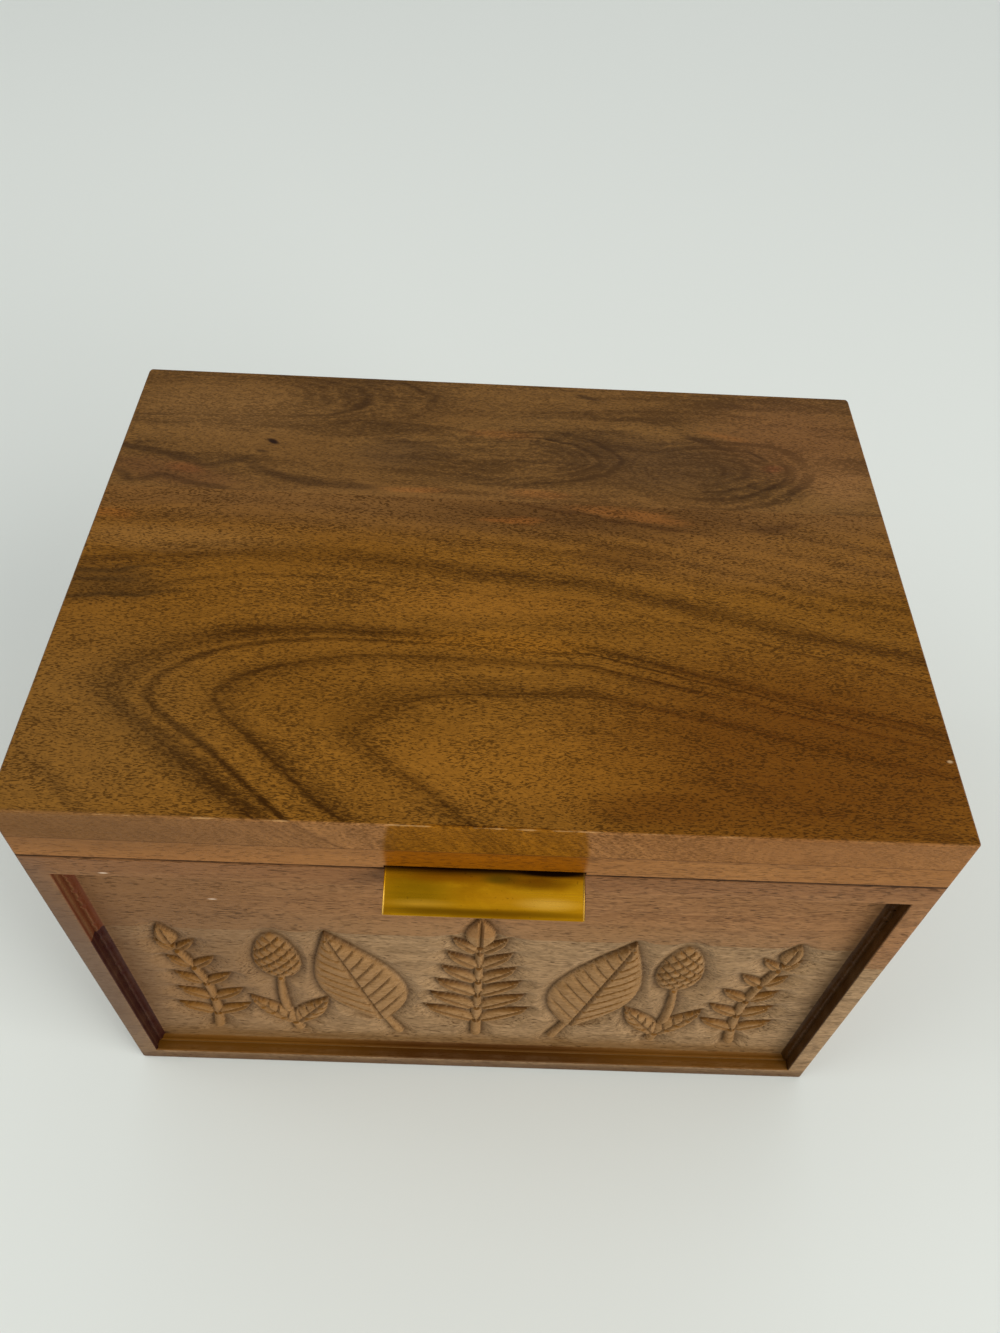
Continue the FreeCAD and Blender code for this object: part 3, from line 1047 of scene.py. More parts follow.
@dataclass(frozen=True)
class BrassFinish:
    """Aged brass with dull patches and worn edges."""

    name: str
    bright: Colour = tone(212, 150, 18)
    dull: Colour = tone(148, 98, 6)
    dark: Colour = tone(50, 30, 8)
    spots: tuple[Mark, ...] = ()
    dull_share: float = 0.8
    speck_share: float = 0.35
    rub_share: float = 0.3
    smooth: float = 0.26
    rough: float = 0.46
    relief: float = 0.03
    relief_depth: float = 0.1

    def build(self, effects: Effects) -> bpy.types.Material:
        """Makes the material.

        Args:
            effects: Shared groups.

        Returns:
            The finished material.
        """
        material, graph, shader = new_material(self.name)
        place = graph.millimetres()
        aged = graph.use(effects.patina, Place=place)
        colour = graph.cover(self.bright, aged["Dull"], self.dull_share, self.dull)
        for spot in self.spots:
            colour = spot.lay(graph, colour, place)
        graph.feed(shader["Base Color"], graph.cover(colour, aged["Specks"], self.speck_share, self.dark))
        shader["Metallic"].default_value = 1.0
        overlay = graph.math("MULTIPLY", aged["Rubbing"], self.rub_share)
        wear = graph.math("ADD", graph.math("MULTIPLY", aged["Dull"], 1.0 - self.rub_share), overlay)
        graph.feed(shader["Roughness"], graph.step(wear, *FULL, self.smooth, self.rough))
        graph.feed(shader["Normal"], graph.bump(aged["Rubbing"], self.relief, self.relief_depth))
        return material


def rounded(inset: np.ndarray) -> np.ndarray:
    """Turns the share of the way in from an outline into the height of a round pillow."""
    return np.sqrt(np.clip(inset * (2 - inset), 0.0, 1.0))


def groove(place: np.ndarray, gap: float, width: float) -> np.ndarray:
    """Gives 1 along lines that lie a gap apart, falling to 0 at a width from each."""
    past = place % gap
    return np.clip(1 - np.minimum(past, gap - past) / width, 0.0, 1.0)


@dataclass(frozen=True)
class Leaf:
    """One carved leaf: a pillow with a middle rib and side veins."""

    foot: Spot
    lean: float
    length: float
    width: float
    rise: float = 1.5
    vein_gap: float = 4.0
    vein_depth: float = 0.9
    vein_width: float = 0.7
    vein_slant: float = 1.1
    side_vein_share: float = 0.8
    vein_fade_share: float = 0.3
    fullness: float = 0.75

    def carve(self, across: np.ndarray, up: np.ndarray) -> Carving:
        """Works out the leaf over the whole panel.

        Args:
            across: First coordinate of each point.
            up: Height of each point.

        Returns:
            Rise of the pillow, depth of the veins, and distance outside the outline.
        """
        angle = math.radians(self.lean)
        from_foot = (across - self.foot[0], up - self.foot[1])
        along = from_foot[0] * math.sin(angle) + from_foot[1] * math.cos(angle)
        aside = np.abs(from_foot[0] * math.cos(angle) - from_foot[1] * math.sin(angle))
        share = np.clip(along / self.length, 0.0, 1.0)
        half = self.width / 2 * np.sin(math.pi * share**self.fullness)
        beyond = np.maximum(np.maximum(-along, along - self.length), 0.0)
        outside = np.hypot(np.maximum(aside - half, 0.0), beyond)
        inside = (aside < half) & (beyond == 0.0)
        inset = np.where(inside, 1 - aside / np.maximum(half, SMALLEST), 0.0)
        rib = np.clip(1 - aside / self.vein_width, 0.0, 1.0)
        side_veins = groove(along - aside * self.vein_slant, self.vein_gap, self.vein_width)
        fade = np.clip(inset / self.vein_fade_share, 0.0, 1.0) * self.side_vein_share
        veins = np.maximum(rib, side_veins * fade) * self.vein_depth * inside
        return self.rise * rounded(inset) * inside, veins, outside


@dataclass(frozen=True)
class Stem:
    """One carved stem, a rounded bar that bows to one side."""

    foot: Spot
    tip: Spot
    bow: float = 0.0
    width: float = 2.8
    rise: float = 1.2
    taper_share: float = 0.45

    def middle(self, share: np.ndarray | float) -> np.ndarray | float:
        """Gives the first coordinate of the stem's middle at a share of its height."""
        return self.foot[0] + (self.tip[0] - self.foot[0]) * share + self.bow * np.sin(math.pi * share)

    def carve(self, across: np.ndarray, up: np.ndarray) -> Carving:
        """Works out the stem over the whole panel.

        Args:
            across: First coordinate of each point.
            up: Height of each point.

        Returns:
            Rise of the bar, no grooves, and distance outside the outline.
        """
        share = np.clip((up - self.foot[1]) / (self.tip[1] - self.foot[1]), 0.0, 1.0)
        half = self.width / 2 * (1 - self.taper_share * share)
        aside = np.abs(across - self.middle(share))
        beyond = np.maximum(np.maximum(self.foot[1] - up, up - self.tip[1]), 0.0)
        outside = np.hypot(np.maximum(aside - half, 0.0), beyond)
        inset = np.clip(1 - aside / half, 0.0, 1.0) * (beyond == 0.0)
        return self.rise * rounded(inset), np.zeros_like(across), outside


@dataclass(frozen=True)
class SeedHead:
    """One carved seed head: an egg-shaped pillow with rows of gouged seeds."""

    centre: Spot
    width: float = 13.0
    height: float = 24.0
    rise: float = 1.9
    narrow_share: float = 0.35
    seed_gap: float = 3.4
    seed_depth: float = 0.9
    seed_slant: float = 0.8
    groove_width: float = 0.6
    groove_fade_share: float = 0.12

    def carve(self, across: np.ndarray, up: np.ndarray) -> Carving:
        """Works out the seed head over the whole panel.

        Args:
            across: First coordinate of each point.
            up: Height of each point.

        Returns:
            Rise of the pillow, depth of the cross-hatching, and distance outside the outline.
        """
        aside = across - self.centre[0]
        level = up - self.centre[1]
        narrow = 1 - self.narrow_share * np.clip(level / self.height + HALF, 0.0, 1.0)
        reach = np.hypot(aside / (self.width / 2 * narrow), level / (self.height / 2))
        inset = np.clip(1 - reach, 0.0, 1.0)
        outside = np.maximum(reach - 1, 0.0) * self.width / 2
        slanted = level * self.seed_slant
        slants = (aside + slanted, aside - slanted)
        lines = np.maximum(*(groove(slant, self.seed_gap, self.groove_width) for slant in slants))
        hatch = lines * self.seed_depth * np.clip(inset / self.groove_fade_share, 0.0, 1.0)
        return self.rise * rounded(inset), hatch, outside


Element = Leaf | Stem | SeedHead


@dataclass(frozen=True)
class Sprig:
    """A stem with pairs of leaflets and a leaflet at its tip."""

    foot: Spot
    tip: Spot
    bow: float
    pairs: int
    longest: float
    first_share: float = 0.18
    last_share: float = 0.94
    shrink_share: float = 0.45
    slim_share: float = 0.40
    tip_share: float = 0.85
    slant: float = 62.0
    slant_loss: float = 22.0
    leaflet_rise: float = 1.3
    tip_rise: float = 1.4

    def parts(self) -> list[Element]:
        """Lays out the sprig.

        Returns:
            The stem and its leaflets.
        """
        stem = Stem(self.foot, self.tip, self.bow)
        parts: list[Element] = [stem]
        tall = self.tip[1] - self.foot[1]
        for pair in range(self.pairs):
            share = self.first_share + (self.last_share - self.first_share) * pair / (self.pairs - 1)
            joint = (stem.middle(share), self.foot[1] + tall * share)
            length = self.longest * (1 - self.shrink_share * share)
            slant = self.slant - self.slant_loss * share
            for side in (-1, 1):
                shape = {"length": length, "width": length * self.slim_share, "vein_gap": length}
                parts.append(Leaf(joint, side * slant, rise=self.leaflet_rise, **shape))
        lean = math.degrees(math.atan2(self.tip[0] - self.foot[0] - self.bow, tall))
        top = {"length": self.longest * self.tip_share, "width": self.longest * self.slim_share}
        parts.append(Leaf(self.tip, lean, rise=self.tip_rise, vein_gap=self.longest, **top))
        return parts


@dataclass
class CarvedFront:
    """Front wall: two boards with a stepped recess and a carved leaf ornament on its floor."""

    effects: Effects
    columns: int = 440
    rows: int = 250
    side_margin: float = 5.0
    bottom_margin: float = 6.0
    top_margin: float = 7.0
    upper_wall: float = 2.5
    lower_wall: float = 1.5
    ledge: float = 1.0
    cove: float = 0.9
    cove_angles: Triple = (30.0, 60.0, 90.0)
    arris: float = 0.25
    corner_radius: float = 1.0
    corner_steps: tuple[float, ...] = (0.0, 0.15, 0.4, 0.8, 1.0)
    foot_chamfer: float = 0.8
    rim_chamfer: float = 0.4
    lap_depth: float = 4.0
    side_thickness: float = 10.0
    base_height: float = 6.0
    stem_foot: float = 13.0
    moat_depth: float = 1.3
    moat_reach: float = 2.6
    cover_share: float = 0.5
    cut_level: float = 0.45
    cut_reach_share: float = 0.4
    groove_share: float = 0.9
    ornament_level: float = 0.6
    tool_marks: float = 0.07
    tool_cell: Spot = (5.0, 9.0)
    nick_depth: float = 0.7
    nick_length: float = 1.7
    nick_from: float = 78.0
    nick_sharpness: float = 2.6
    nick_share: float = 0.45
    wall_mid_share: float = 0.45
    # Least share of painted shade and staining on the right wall of the recess.
    right_wall_share: float = 0.85
    low: Vector = field(init=False)
    high: Vector = field(init=False)
    joint: float = field(init=False)
    ledge_depth: float = field(init=False)
    floor_depth: float = field(init=False)

    def __post_init__(self) -> None:
        """Reads the wall's place from its packed boards."""
        self.low, lower_top = node_box("front_lower_board")
        self.high = node_box("front_upper_board")[1]
        self.joint = lower_top.z
        self.ledge_depth = self.low.y + self.upper_wall
        self.floor_depth = self.ledge_depth + self.lower_wall

    def ornament(self) -> list[Element]:
        """Lays out the leaf ornament, the same on both sides of the middle.

        Returns:
            The carved elements.
        """
        foot = self.stem_foot
        parts = Sprig((0.0, foot), (0.0, 66.0), 0.0, 6, 17.0).parts()
        for side in (-1, 1):
            fork = (side * 46.3, 17.0)
            parts.append(Stem((side * 20.0, foot), (side * 24.0, 26.0)))
            parts.append(Leaf((side * 23.5, 22.0), side * 13.0, 50.0, 21.0, rise=1.9, vein_gap=5.2))
            parts.append(Stem((side * 46.0, foot), (side * 47.0, 47.0), side * 1.5))
            parts.append(SeedHead((side * 47.0, 57.0)))
            parts += [Leaf(fork, side * lean, 19.0, 7.0) for lean in (-30.0, 32.0)]
            parts += Sprig((side * 67.0, foot), (side * 70.0, 62.0), side * -3.0, 5, 12.0).parts()
        return parts

    def relief(self, across: np.ndarray, up: np.ndarray) -> Carving:
        """Joins the carved elements into one relief.

        Args:
            across: First coordinate of each point of the recess floor.
            up: Height of each point.

        Returns:
            How far each point stands out of the floor, and how much of it is a cut or ornament.
        """
        rise = np.zeros_like(across)
        grooves = np.zeros_like(across)
        outside = np.full_like(across, math.inf)
        for part in self.ornament():
            pillow, veins, apart = part.carve(across, up)
            covers = (apart == 0.0) & (pillow >= rise * self.cover_share)
            rise = np.where(covers, pillow - veins, rise)
            grooves = np.where(covers, veins, grooves)
            outside = np.minimum(outside, apart)
        moat = self.moat_depth * np.exp(-((outside / self.moat_reach) ** 2))
        sunk = 1 - np.clip(rise / self.cut_level, None, 1.0)
        # Cut share: where painted shade and staining darken the cuts.
        cut = np.clip(sunk, 0.0, 1.0) * np.exp(-((outside / (self.moat_reach * self.cut_reach_share)) ** 2))
        ornament = np.clip(rise / self.ornament_level, 0.0, 1.0)
        return rise - moat, np.maximum(cut, np.clip(grooves * self.groove_share, 0.0, 1.0)), ornament

    def loops(self) -> list[tuple[float, float, float, float, float]]:
        """Lists the rectangles that lead from the recess floor round to the back of the wall.

        Returns:
            For each rectangle its half width, foot, top, depth and share of painted shade and staining.
        """
        low, high = self.low, self.high
        half, face, radius = high.x, low.y, self.corner_radius
        steps = []
        for angle in self.cove_angles:
            inset = self.cove * (1 - math.sin(math.radians(angle)))
            raised = self.cove * (1 - math.cos(math.radians(angle)))
            steps.append((self.ledge + inset, self.floor_depth - raised, 1.0))
        steps += [
            (self.ledge, self.ledge_depth + self.arris, 1.0),
            (self.ledge - self.arris, self.ledge_depth, self.wall_mid_share),
            (0.0, self.ledge_depth, 1.0),
            (0.0, (face + self.ledge_depth) / 2, self.wall_mid_share),
            (0.0, face + self.arris, 1.0),
            (-self.arris, face, 0.0),
        ]
        wall, foot, top = half - self.side_margin, low.z + self.bottom_margin, high.z - self.top_margin
        loops = [(wall - inset, foot + inset, top - inset, depth, share) for inset, depth, share in steps]
        for back in self.corner_steps:
            round_off = radius - math.sqrt(radius**2 - (radius - back) ** 2)
            foot_off, rim_off = (max(0.0, size - back) for size in (self.foot_chamfer, self.rim_chamfer))
            loops.append((half - round_off, low.z + foot_off, high.z - rim_off, face + back, 0.0))
        lap = high.y - self.lap_depth
        inner, over_base = half - self.side_thickness, low.z + self.base_height
        loops.append((half, low.z, high.z, lap, 0.0))
        loops += [(inner, over_base, high.z, depth, 0.0) for depth in (lap, high.y)]
        return loops

    def floor(self, shape: bmesh.types.BMesh) -> tuple[float, float, float]:
        """Draws the carved floor of the recess.

        Args:
            shape: Mesh that the floor is added to.

        Returns:
            Half width, foot and top of the floor's edge.
        """
        edge = self.ledge + self.cove
        half = self.high.x - self.side_margin - edge
        foot = self.low.z + self.bottom_margin + edge
        top = self.high.z - self.top_margin - edge
        for name in (CUT_LAYER, WALL_LAYER, ORNAMENT_LAYER):
            shape.verts.layers.float.new(name)
        layers = [shape.verts.layers.float[name] for name in (CUT_LAYER, ORNAMENT_LAYER)]
        grid = bmesh.ops.create_grid(shape, x_segments=self.columns, y_segments=self.rows, size=1.0)["verts"]
        across = np.array([vert.co.x for vert in grid]) * half
        up = (np.array([vert.co.y for vert in grid]) + 1) / 2 * (top - foot) + foot
        rise, *shares = self.relief(across, up)
        for vert, side, level, height, *stains in zip(grid, across, up, rise, *shares):
            spot = (side / self.tool_cell[0], level / self.tool_cell[1], 0.0)
            vert.co = (side, self.floor_depth - height - noise.noise(spot) * self.tool_marks, level)
            for layer, share in zip(layers, stains):
                vert[layer] = share
        return half, foot, top

    def shell(self) -> bmesh.types.BMesh:
        """Draws the whole wall, still in one piece.

        Returns:
            A closed mesh in millimetres.
        """
        shape = bmesh.new()
        old_half, old_foot, old_top = self.floor(shape)
        layer = shape.verts.layers.float[WALL_LAYER]
        edges = [edge for edge in shape.edges if edge.is_boundary]
        for half, foot, top, depth, stain_and_shade in self.loops():
            made = bmesh.ops.extrude_edge_only(shape, edges=edges)["geom"]
            for vert in only_verts(made):
                share = (vert.co.z - old_foot) / (old_top - old_foot)
                across_grain = abs(vert.co.x) > old_half - NEAR
                vert.co = (vert.co.x * half / old_half, depth, foot + share * (top - foot))
                # The right wall keeps at least right_wall_share of the painted shade and staining.
                least = self.right_wall_share if vert.co.x > 0.0 and stain_and_shade else 0.0
                vert[layer] = max(stain_and_shade, least) if across_grain else 0.0
            edges = [item for item in made if isinstance(item, bmesh.types.BMEdge) and item.is_boundary]
            old_half, old_foot, old_top = half, foot, top
        bmesh.ops.holes_fill(shape, edges=edges, sides=0)
        return shape

    def nick(self, shape: bmesh.types.BMesh) -> None:
        """Leaves chisel nicks along the ledge at both sides of the recess.

        Args:
            shape: Mesh of the whole wall.
        """
        lip = self.high.x - self.side_margin - self.ledge
        reach = self.arris + NEAR
        for vert in shape.verts:
            if abs(abs(vert.co.x) - lip) < reach and abs(vert.co.y - self.ledge_depth) < reach:
                side = math.copysign(1.0, vert.co.x)
                rough = noise.noise((0.0, vert.co.z / self.nick_length, side)) * self.nick_sharpness
                share = 1.0 if vert.co.z > self.nick_from else self.nick_share
                vert.co.x += side * self.nick_depth * share * min(1.0, max(0.0, rough))

    def finishes(self) -> dict[str, CarvedFinish]:
        """Describes the wood of the two boards.

        Returns:
            The finish of the lower and of the upper board.
        """
        face, floor, ledge_depth = self.low.y, self.floor_depth, self.ledge_depth
        fine = {"dash": (2.2, 0.24, 0.24), "gloss": 0.06}
        fine |= {"fibre_share": 0.55, "fleck_share": 0.3, "pore_share": 0.72}
        # Painted shade over the left side of the front, laid on both boards.
        shade = {"centre": (-80.0, floor, 60.0), "half": (70.0, 30.0, 90.0), "colour": tone(110, 77, 46)}
        scuff = {"half": (1.3, 4.0, 0.35), "colour": tone(214, 190, 164), "share": 0.8}
        both = (
            # Painted shade down the left strip of the front.
            Mark((-87.0, face, 55.0), (7.0, 2.5, 85.0), tone(96, 74, 58), 0.75),
            # Painted shade on the recess floor along the left wall.
            Mark((-84.0, floor, 55.0), (10.0, 3.0, 70.0), tone(82, 54, 32), 0.55),
            # Painted shadow on the recess floor along the right wall.
            Mark((85.0, floor, 60.0), (9.0, 3.0, 62.0), tone(88, 59, 30), 0.55),
            Mark((-74.0, face, self.joint), (26.0, 6.0, 0.22), tone(66, 44, 30), 0.7),
            # Painted shade in the inner bottom-left corner of the recess.
            Mark((-83.0, -62.0, 7.0), (3.6, 4.0, 3.4), tone(24, 12, 6), 0.85),
            # Painted warm tone on the bottom ledge of the recess, for how light falls on it.
            Mark((0.0, ledge_depth, 6.6), (300.0, 1.3, 1.7), tone(92, 58, 16), 0.85, core_share=0.6),
        )
        lower_tints = (
            Mark(share=0.62, **shade),
            Mark((0.0, face, 1.5), (260.0, 2.0, 6.0), tone(80, 54, 30), 0.85),
            Mark((0.0, floor, 7.5), (300.0, 2.4, 7.5), tone(98, 64, 22), 0.6),
        )
        upper_tints = (
            Mark((0.0, floor, 72.0), (150.0, 30.0, 15.0), tone(138, 103, 66), 0.6),
            Mark(share=0.75, **shade),
            # Painted shade under the lid's edge along the top of the front.
            Mark((0.0, face, 108.5), (260.0, 2.5, 7.0), tone(114, 74, 42), 0.6),
        )
        upper_spots = (
            # Painted shadow in the seam under the lid.
            Mark((62.0, face, 110.3), (56.0, 1.6, 0.55), tone(30, 18, 10), 0.8),
            Mark((-73.5, face, 104.6), **scuff),
            Mark((-56.3, floor, 87.0), **scuff),
        )
        lower_tones = (tone(167, 133, 94), tone(104, 79, 50), tone(140, 109, 74))
        upper_tones = (tone(157, 112, 70), tone(100, 65, 36), tone(131, 90, 53))
        lower = {"tints": lower_tints, "spots": both}
        upper = {"tints": upper_tints, "spots": both + upper_spots}
        # The upper board's walls take a redder painted shade with staining, at full share.
        upper |= {"wall_shade_and_stain": tone(80, 38, 18), "wall_full": 1.0}
        return {
            "lower": CarvedFinish("front_lower_wood", *lower_tones, **fine, **lower),
            "upper": CarvedFinish("front_upper_wood", *upper_tones, **fine, **upper),
        }

    def build(self) -> None:
        """Makes the two carved boards in place of the plain ones."""
        shell = self.shell()
        self.nick(shell)
        for level, finish in self.finishes().items():
            board = shell.copy()
            cut = {"plane_co": UP * self.joint, "plane_no": UP}
            cleared = {"clear_outer": level == "lower", "clear_inner": level == "upper"}
            bmesh.ops.bisect_plane(board, geom=everything(board), **cut, **cleared)
            bmesh.ops.holes_fill(board, edges=[edge for edge in board.edges if edge.is_boundary], sides=0)
            name, replaced = f"front_{level}_carved", f"front_{level}_board"
            finish_piece(name, board, finish.build(self.effects), Body.BOX, replaced)
        shell.free()


def dress(finish: WoodFinish | BrassFinish, effects: Effects, *nodes: str) -> None:
    """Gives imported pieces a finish.

    Args:
        finish: What they get.
        effects: Shared groups.
        nodes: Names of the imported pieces.
    """
    material = finish.build(effects)
    for node in nodes:
        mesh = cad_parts[node].data
        mesh.materials.clear()
        mesh.materials.append(material)
        log.info("%s: %s", node, finish.name)


@dataclass
class Boards:
    """Plain boards of the walls, base and lid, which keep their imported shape."""

    effects: Effects
    # Painted shade on the left part of the lid's front edge.
    left_end_shade: Mark = Mark((-78.0, FRONT, 121.0), (80.0, 1.0, 12.0), tone(104, 70, 38), 0.6)
    glue: Mark = Mark((0.0, FRONT, LID_GLUE), (300.0, 0.8, 0.2), tone(66, 40, 20), 0.55)

    @staticmethod
    def brass_reflection(red: float, green: float, blue: float) -> Mark:
        """Paints the warm reflection that the brass pull throws onto the wood over it."""
        # Laid as a multiplying painted reflection with a sharp outline.
        overlay = {"core_share": 0.94, "blend": "MULTIPLY"}
        return Mark((0.0, FRONT, 116.0), (19.6, 0.7, 30.0), tone(red, green, blue), 1.0, **overlay)

    def build(self) -> None:
        """Dresses every plain board."""
        brown = (tone(158, 118, 82), tone(108, 76, 48), tone(136, 98, 62))
        grey = (tone(150, 116, 80), tone(104, 76, 48), tone(128, 96, 62))
        walls = (
            ("left_lower", grey, (9.0, 40.0, 22.0), Grain.DEEP),
            ("left_upper", brown, (31.0, -30.0, 40.0), Grain.DEEP),
            ("right_lower", brown, (64.0, 52.0, -20.0), Grain.DEEP),
            ("right_upper", grey, (87.0, -44.0, 11.0), Grain.DEEP),
            ("back_lower", brown, (13.0, 22.0, 48.0), Grain.ACROSS),
            ("back_upper", grey, (55.0, -18.0, -62.0), Grain.ACROSS),
        )
        for name, tones, heart, grain in walls:
            low, high = node_box(f"{name}_board")
            joint = high.z if name.endswith("lower") else low.z
            glue = Mark((0.0, 0.0, joint), (300.0, 300.0, 0.3), tone(66, 42, 24), 0.6, core_share=0.4)
            figure = {"heart": heart, "grain": grain, "ring_share": 0.48, "spots": (glue,)}
            dress(WoodFinish(f"{name}_wood", *tones, **figure), self.effects, f"{name}_board")
        base = WoodFinish("base_wood", *grey, heart=(5.0, 70.0, 30.0), wear_share=0.0)
        dress(base, self.effects, "base_panel")
        self.dress_rails()
        self.dress_top()

    def dress_rails(self) -> None:
        """Dresses the four rails under the lid's top."""
        tones = (tone(152, 103, 54), tone(98, 62, 31), tone(132, 86, 44))
        # Painted shadow in the seam under the rail, on its right part.
        seam = Mark((62.0, FRONT, 110.4), (56.0, 1.6, 0.5), tone(30, 18, 10), 0.8)
        # Spots: painted shade at the left end, the painted brass reflection, a glue line and the painted
        # seam shadow.
        spots = (self.left_end_shade, self.brass_reflection(232, 201, 60), self.glue, seam)
        long = {"heart": (21.0, 33.0, -140.0), "spots": spots, "gloss": 0.06}
        short = {"heart": (77.0, 33.0, -140.0), "grain": Grain.DEEP}
        rails = WoodFinish("rail_wood", *tones, block=LID_BLOCK, **long)
        side_rails = WoodFinish("side_rail_wood", *tones, block=LID_BLOCK, **short)
        dress(rails, self.effects, "lid_front_rail", "lid_back_rail")
        dress(side_rails, self.effects, "lid_left_rail", "lid_right_rail")

    def dress_top(self) -> None:
        """Dresses the two figured boards of the lid's top."""
        top = {"gloss": 0.04, "fleck_share": 0.28, "crowd": 0.05, "dash": (0.9, 0.22, 0.22)}
        top |= {"side_share": 1.0, "side_pore_share": 0.7, "block": LID_BLOCK}
        spots = (
            # Darker painted shade on the left part of the board's front edge.
            replace(self.left_end_shade, colour=tone(98, 66, 36), share=0.72),
            # Painted light on the right part of the board's front edge.
            Mark((72.0, FRONT, 122.0), (56.0, 1.0, 9.0), tone(160, 111, 65), 0.25),
            # Painted reflection of the brass pull.
            self.brass_reflection(222, 205, 90),
            self.glue,
            Mark((87.6, -46.7, LID_TOP), (0.8, 0.5, 1.2), tone(206, 172, 128), 0.6),
        )
        front = LidFrontFinish(
            "lid_front_wood",
            light=tone(139, 91, 27),
            dark=tone(58, 31, 0),
            drift=tone(114, 72, 16),
            pore=tone(48, 25, 0),
            pore_share=0.7,
            ring_share=0.92,
            ring_crowd=0.08,
            wear_share=0.8,
            wear_right_share=0.2,
            tints=self.front_tints(),
            spots=spots,
            **top,
        )
        rear = LidRearFinish(
            "lid_rear_wood",
            light=tone(126, 88, 42),
            dark=tone(56, 36, 14),
            drift=tone(104, 70, 32),
            pore=tone(50, 30, 10),
            pore_share=0.5,
            ring_share=0.76,
            ring_crowd=0.28,
            wander=Cloud((14.0, 6.0, 6.0), reach=(6.0, 2.0, 2.0)),
            tints=self.rear_tints(),
            spots=self.knots(),
            **top,
        )
        dress(front, self.effects, "lid_front_board")
        dress(rear, self.effects, "lid_rear_board")

    @staticmethod
    def front_tints() -> tuple[Mark, ...]:
        """Lists the broad changes of colour and the streaks of the lid's front board.

        Returns:
            The marks in the order in which they are laid.
        """
        streak = (52, 34, 10)
        rows = (
            ((-86.0, -48.0), (48.0, 42.0, 30.0), (118, 83, 37), 0.45, 0.0),
            ((62.0, -48.0), (66.0, 38.0, 30.0), (90, 46, 2), 0.65, 0.0),
            ((0.0, 22.0), (260.0, 19.0, 30.0), (112, 77, 40), 0.75, 0.0),
            ((22.0, 17.0), (60.0, 8.0, 20.0), (74, 45, 14), 0.6, 0.0),
            ((62.0, 4.0), (60.0, 12.0, 20.0), (128, 87, 42), 0.4, 0.0),
            ((63.0, 15.5), (10.0, 2.4, 20.0), (64, 38, 14), 0.55, 8.0),
            ((-72.0, 5.0), (40.0, 6.0, 20.0), (132, 92, 44), 0.5, 0.0),
            ((-2.0, -11.0), (34.0, 7.0, 20.0), (146, 94, 28), 0.45, 0.0),
            ((2.0, -21.5), (28.0, 4.6, 20.0), (152, 97, 24), 0.6, 0.0),
            ((6.0, -52.0), (46.0, 13.0, 20.0), (152, 98, 28), 0.35, 0.0),
            ((27.0, 4.0), (16.0, 5.0, 20.0), (80, 48, 12), 0.45, 0.0),
            ((30.0, -60.0), (18.0, 6.0, 20.0), (86, 44, 2), 0.4, 0.0),
            ((-84.0, -9.0), (24.0, 8.0, 20.0), (72, 48, 18), 0.6, 0.0),
            ((-81.0, -5.2), (17.0, 1.0, 12.0), streak, 0.6, 7.0),
            ((-79.0, -12.4), (21.0, 1.1, 12.0), streak, 0.65, 5.0),
            ((-84.0, -8.6), (12.0, 0.8, 12.0), streak, 0.5, 4.0),
            ((-86.0, 12.0), (8.0, 2.6, 10.0), (142, 84, 28), 0.5, 0.0),
            ((4.0, 14.7), (10.0, 1.7, 10.0), (140, 82, 30), 0.6, 0.0),
        )
        orange = Mark((30.5, 18.0, LID_TOP), (18.0, 2.5, 10.0), tone(140, 86, 36), 0.6, -9.0, core_share=0.3)
        under_orange = trail(((5.0, 20.0), (21.6, 17.2), (27.4, 15.4), (42.0, 13.6)), 0.9, (62, 34, 8), 0.5)
        return (*lid_marks(rows), orange, *under_orange)

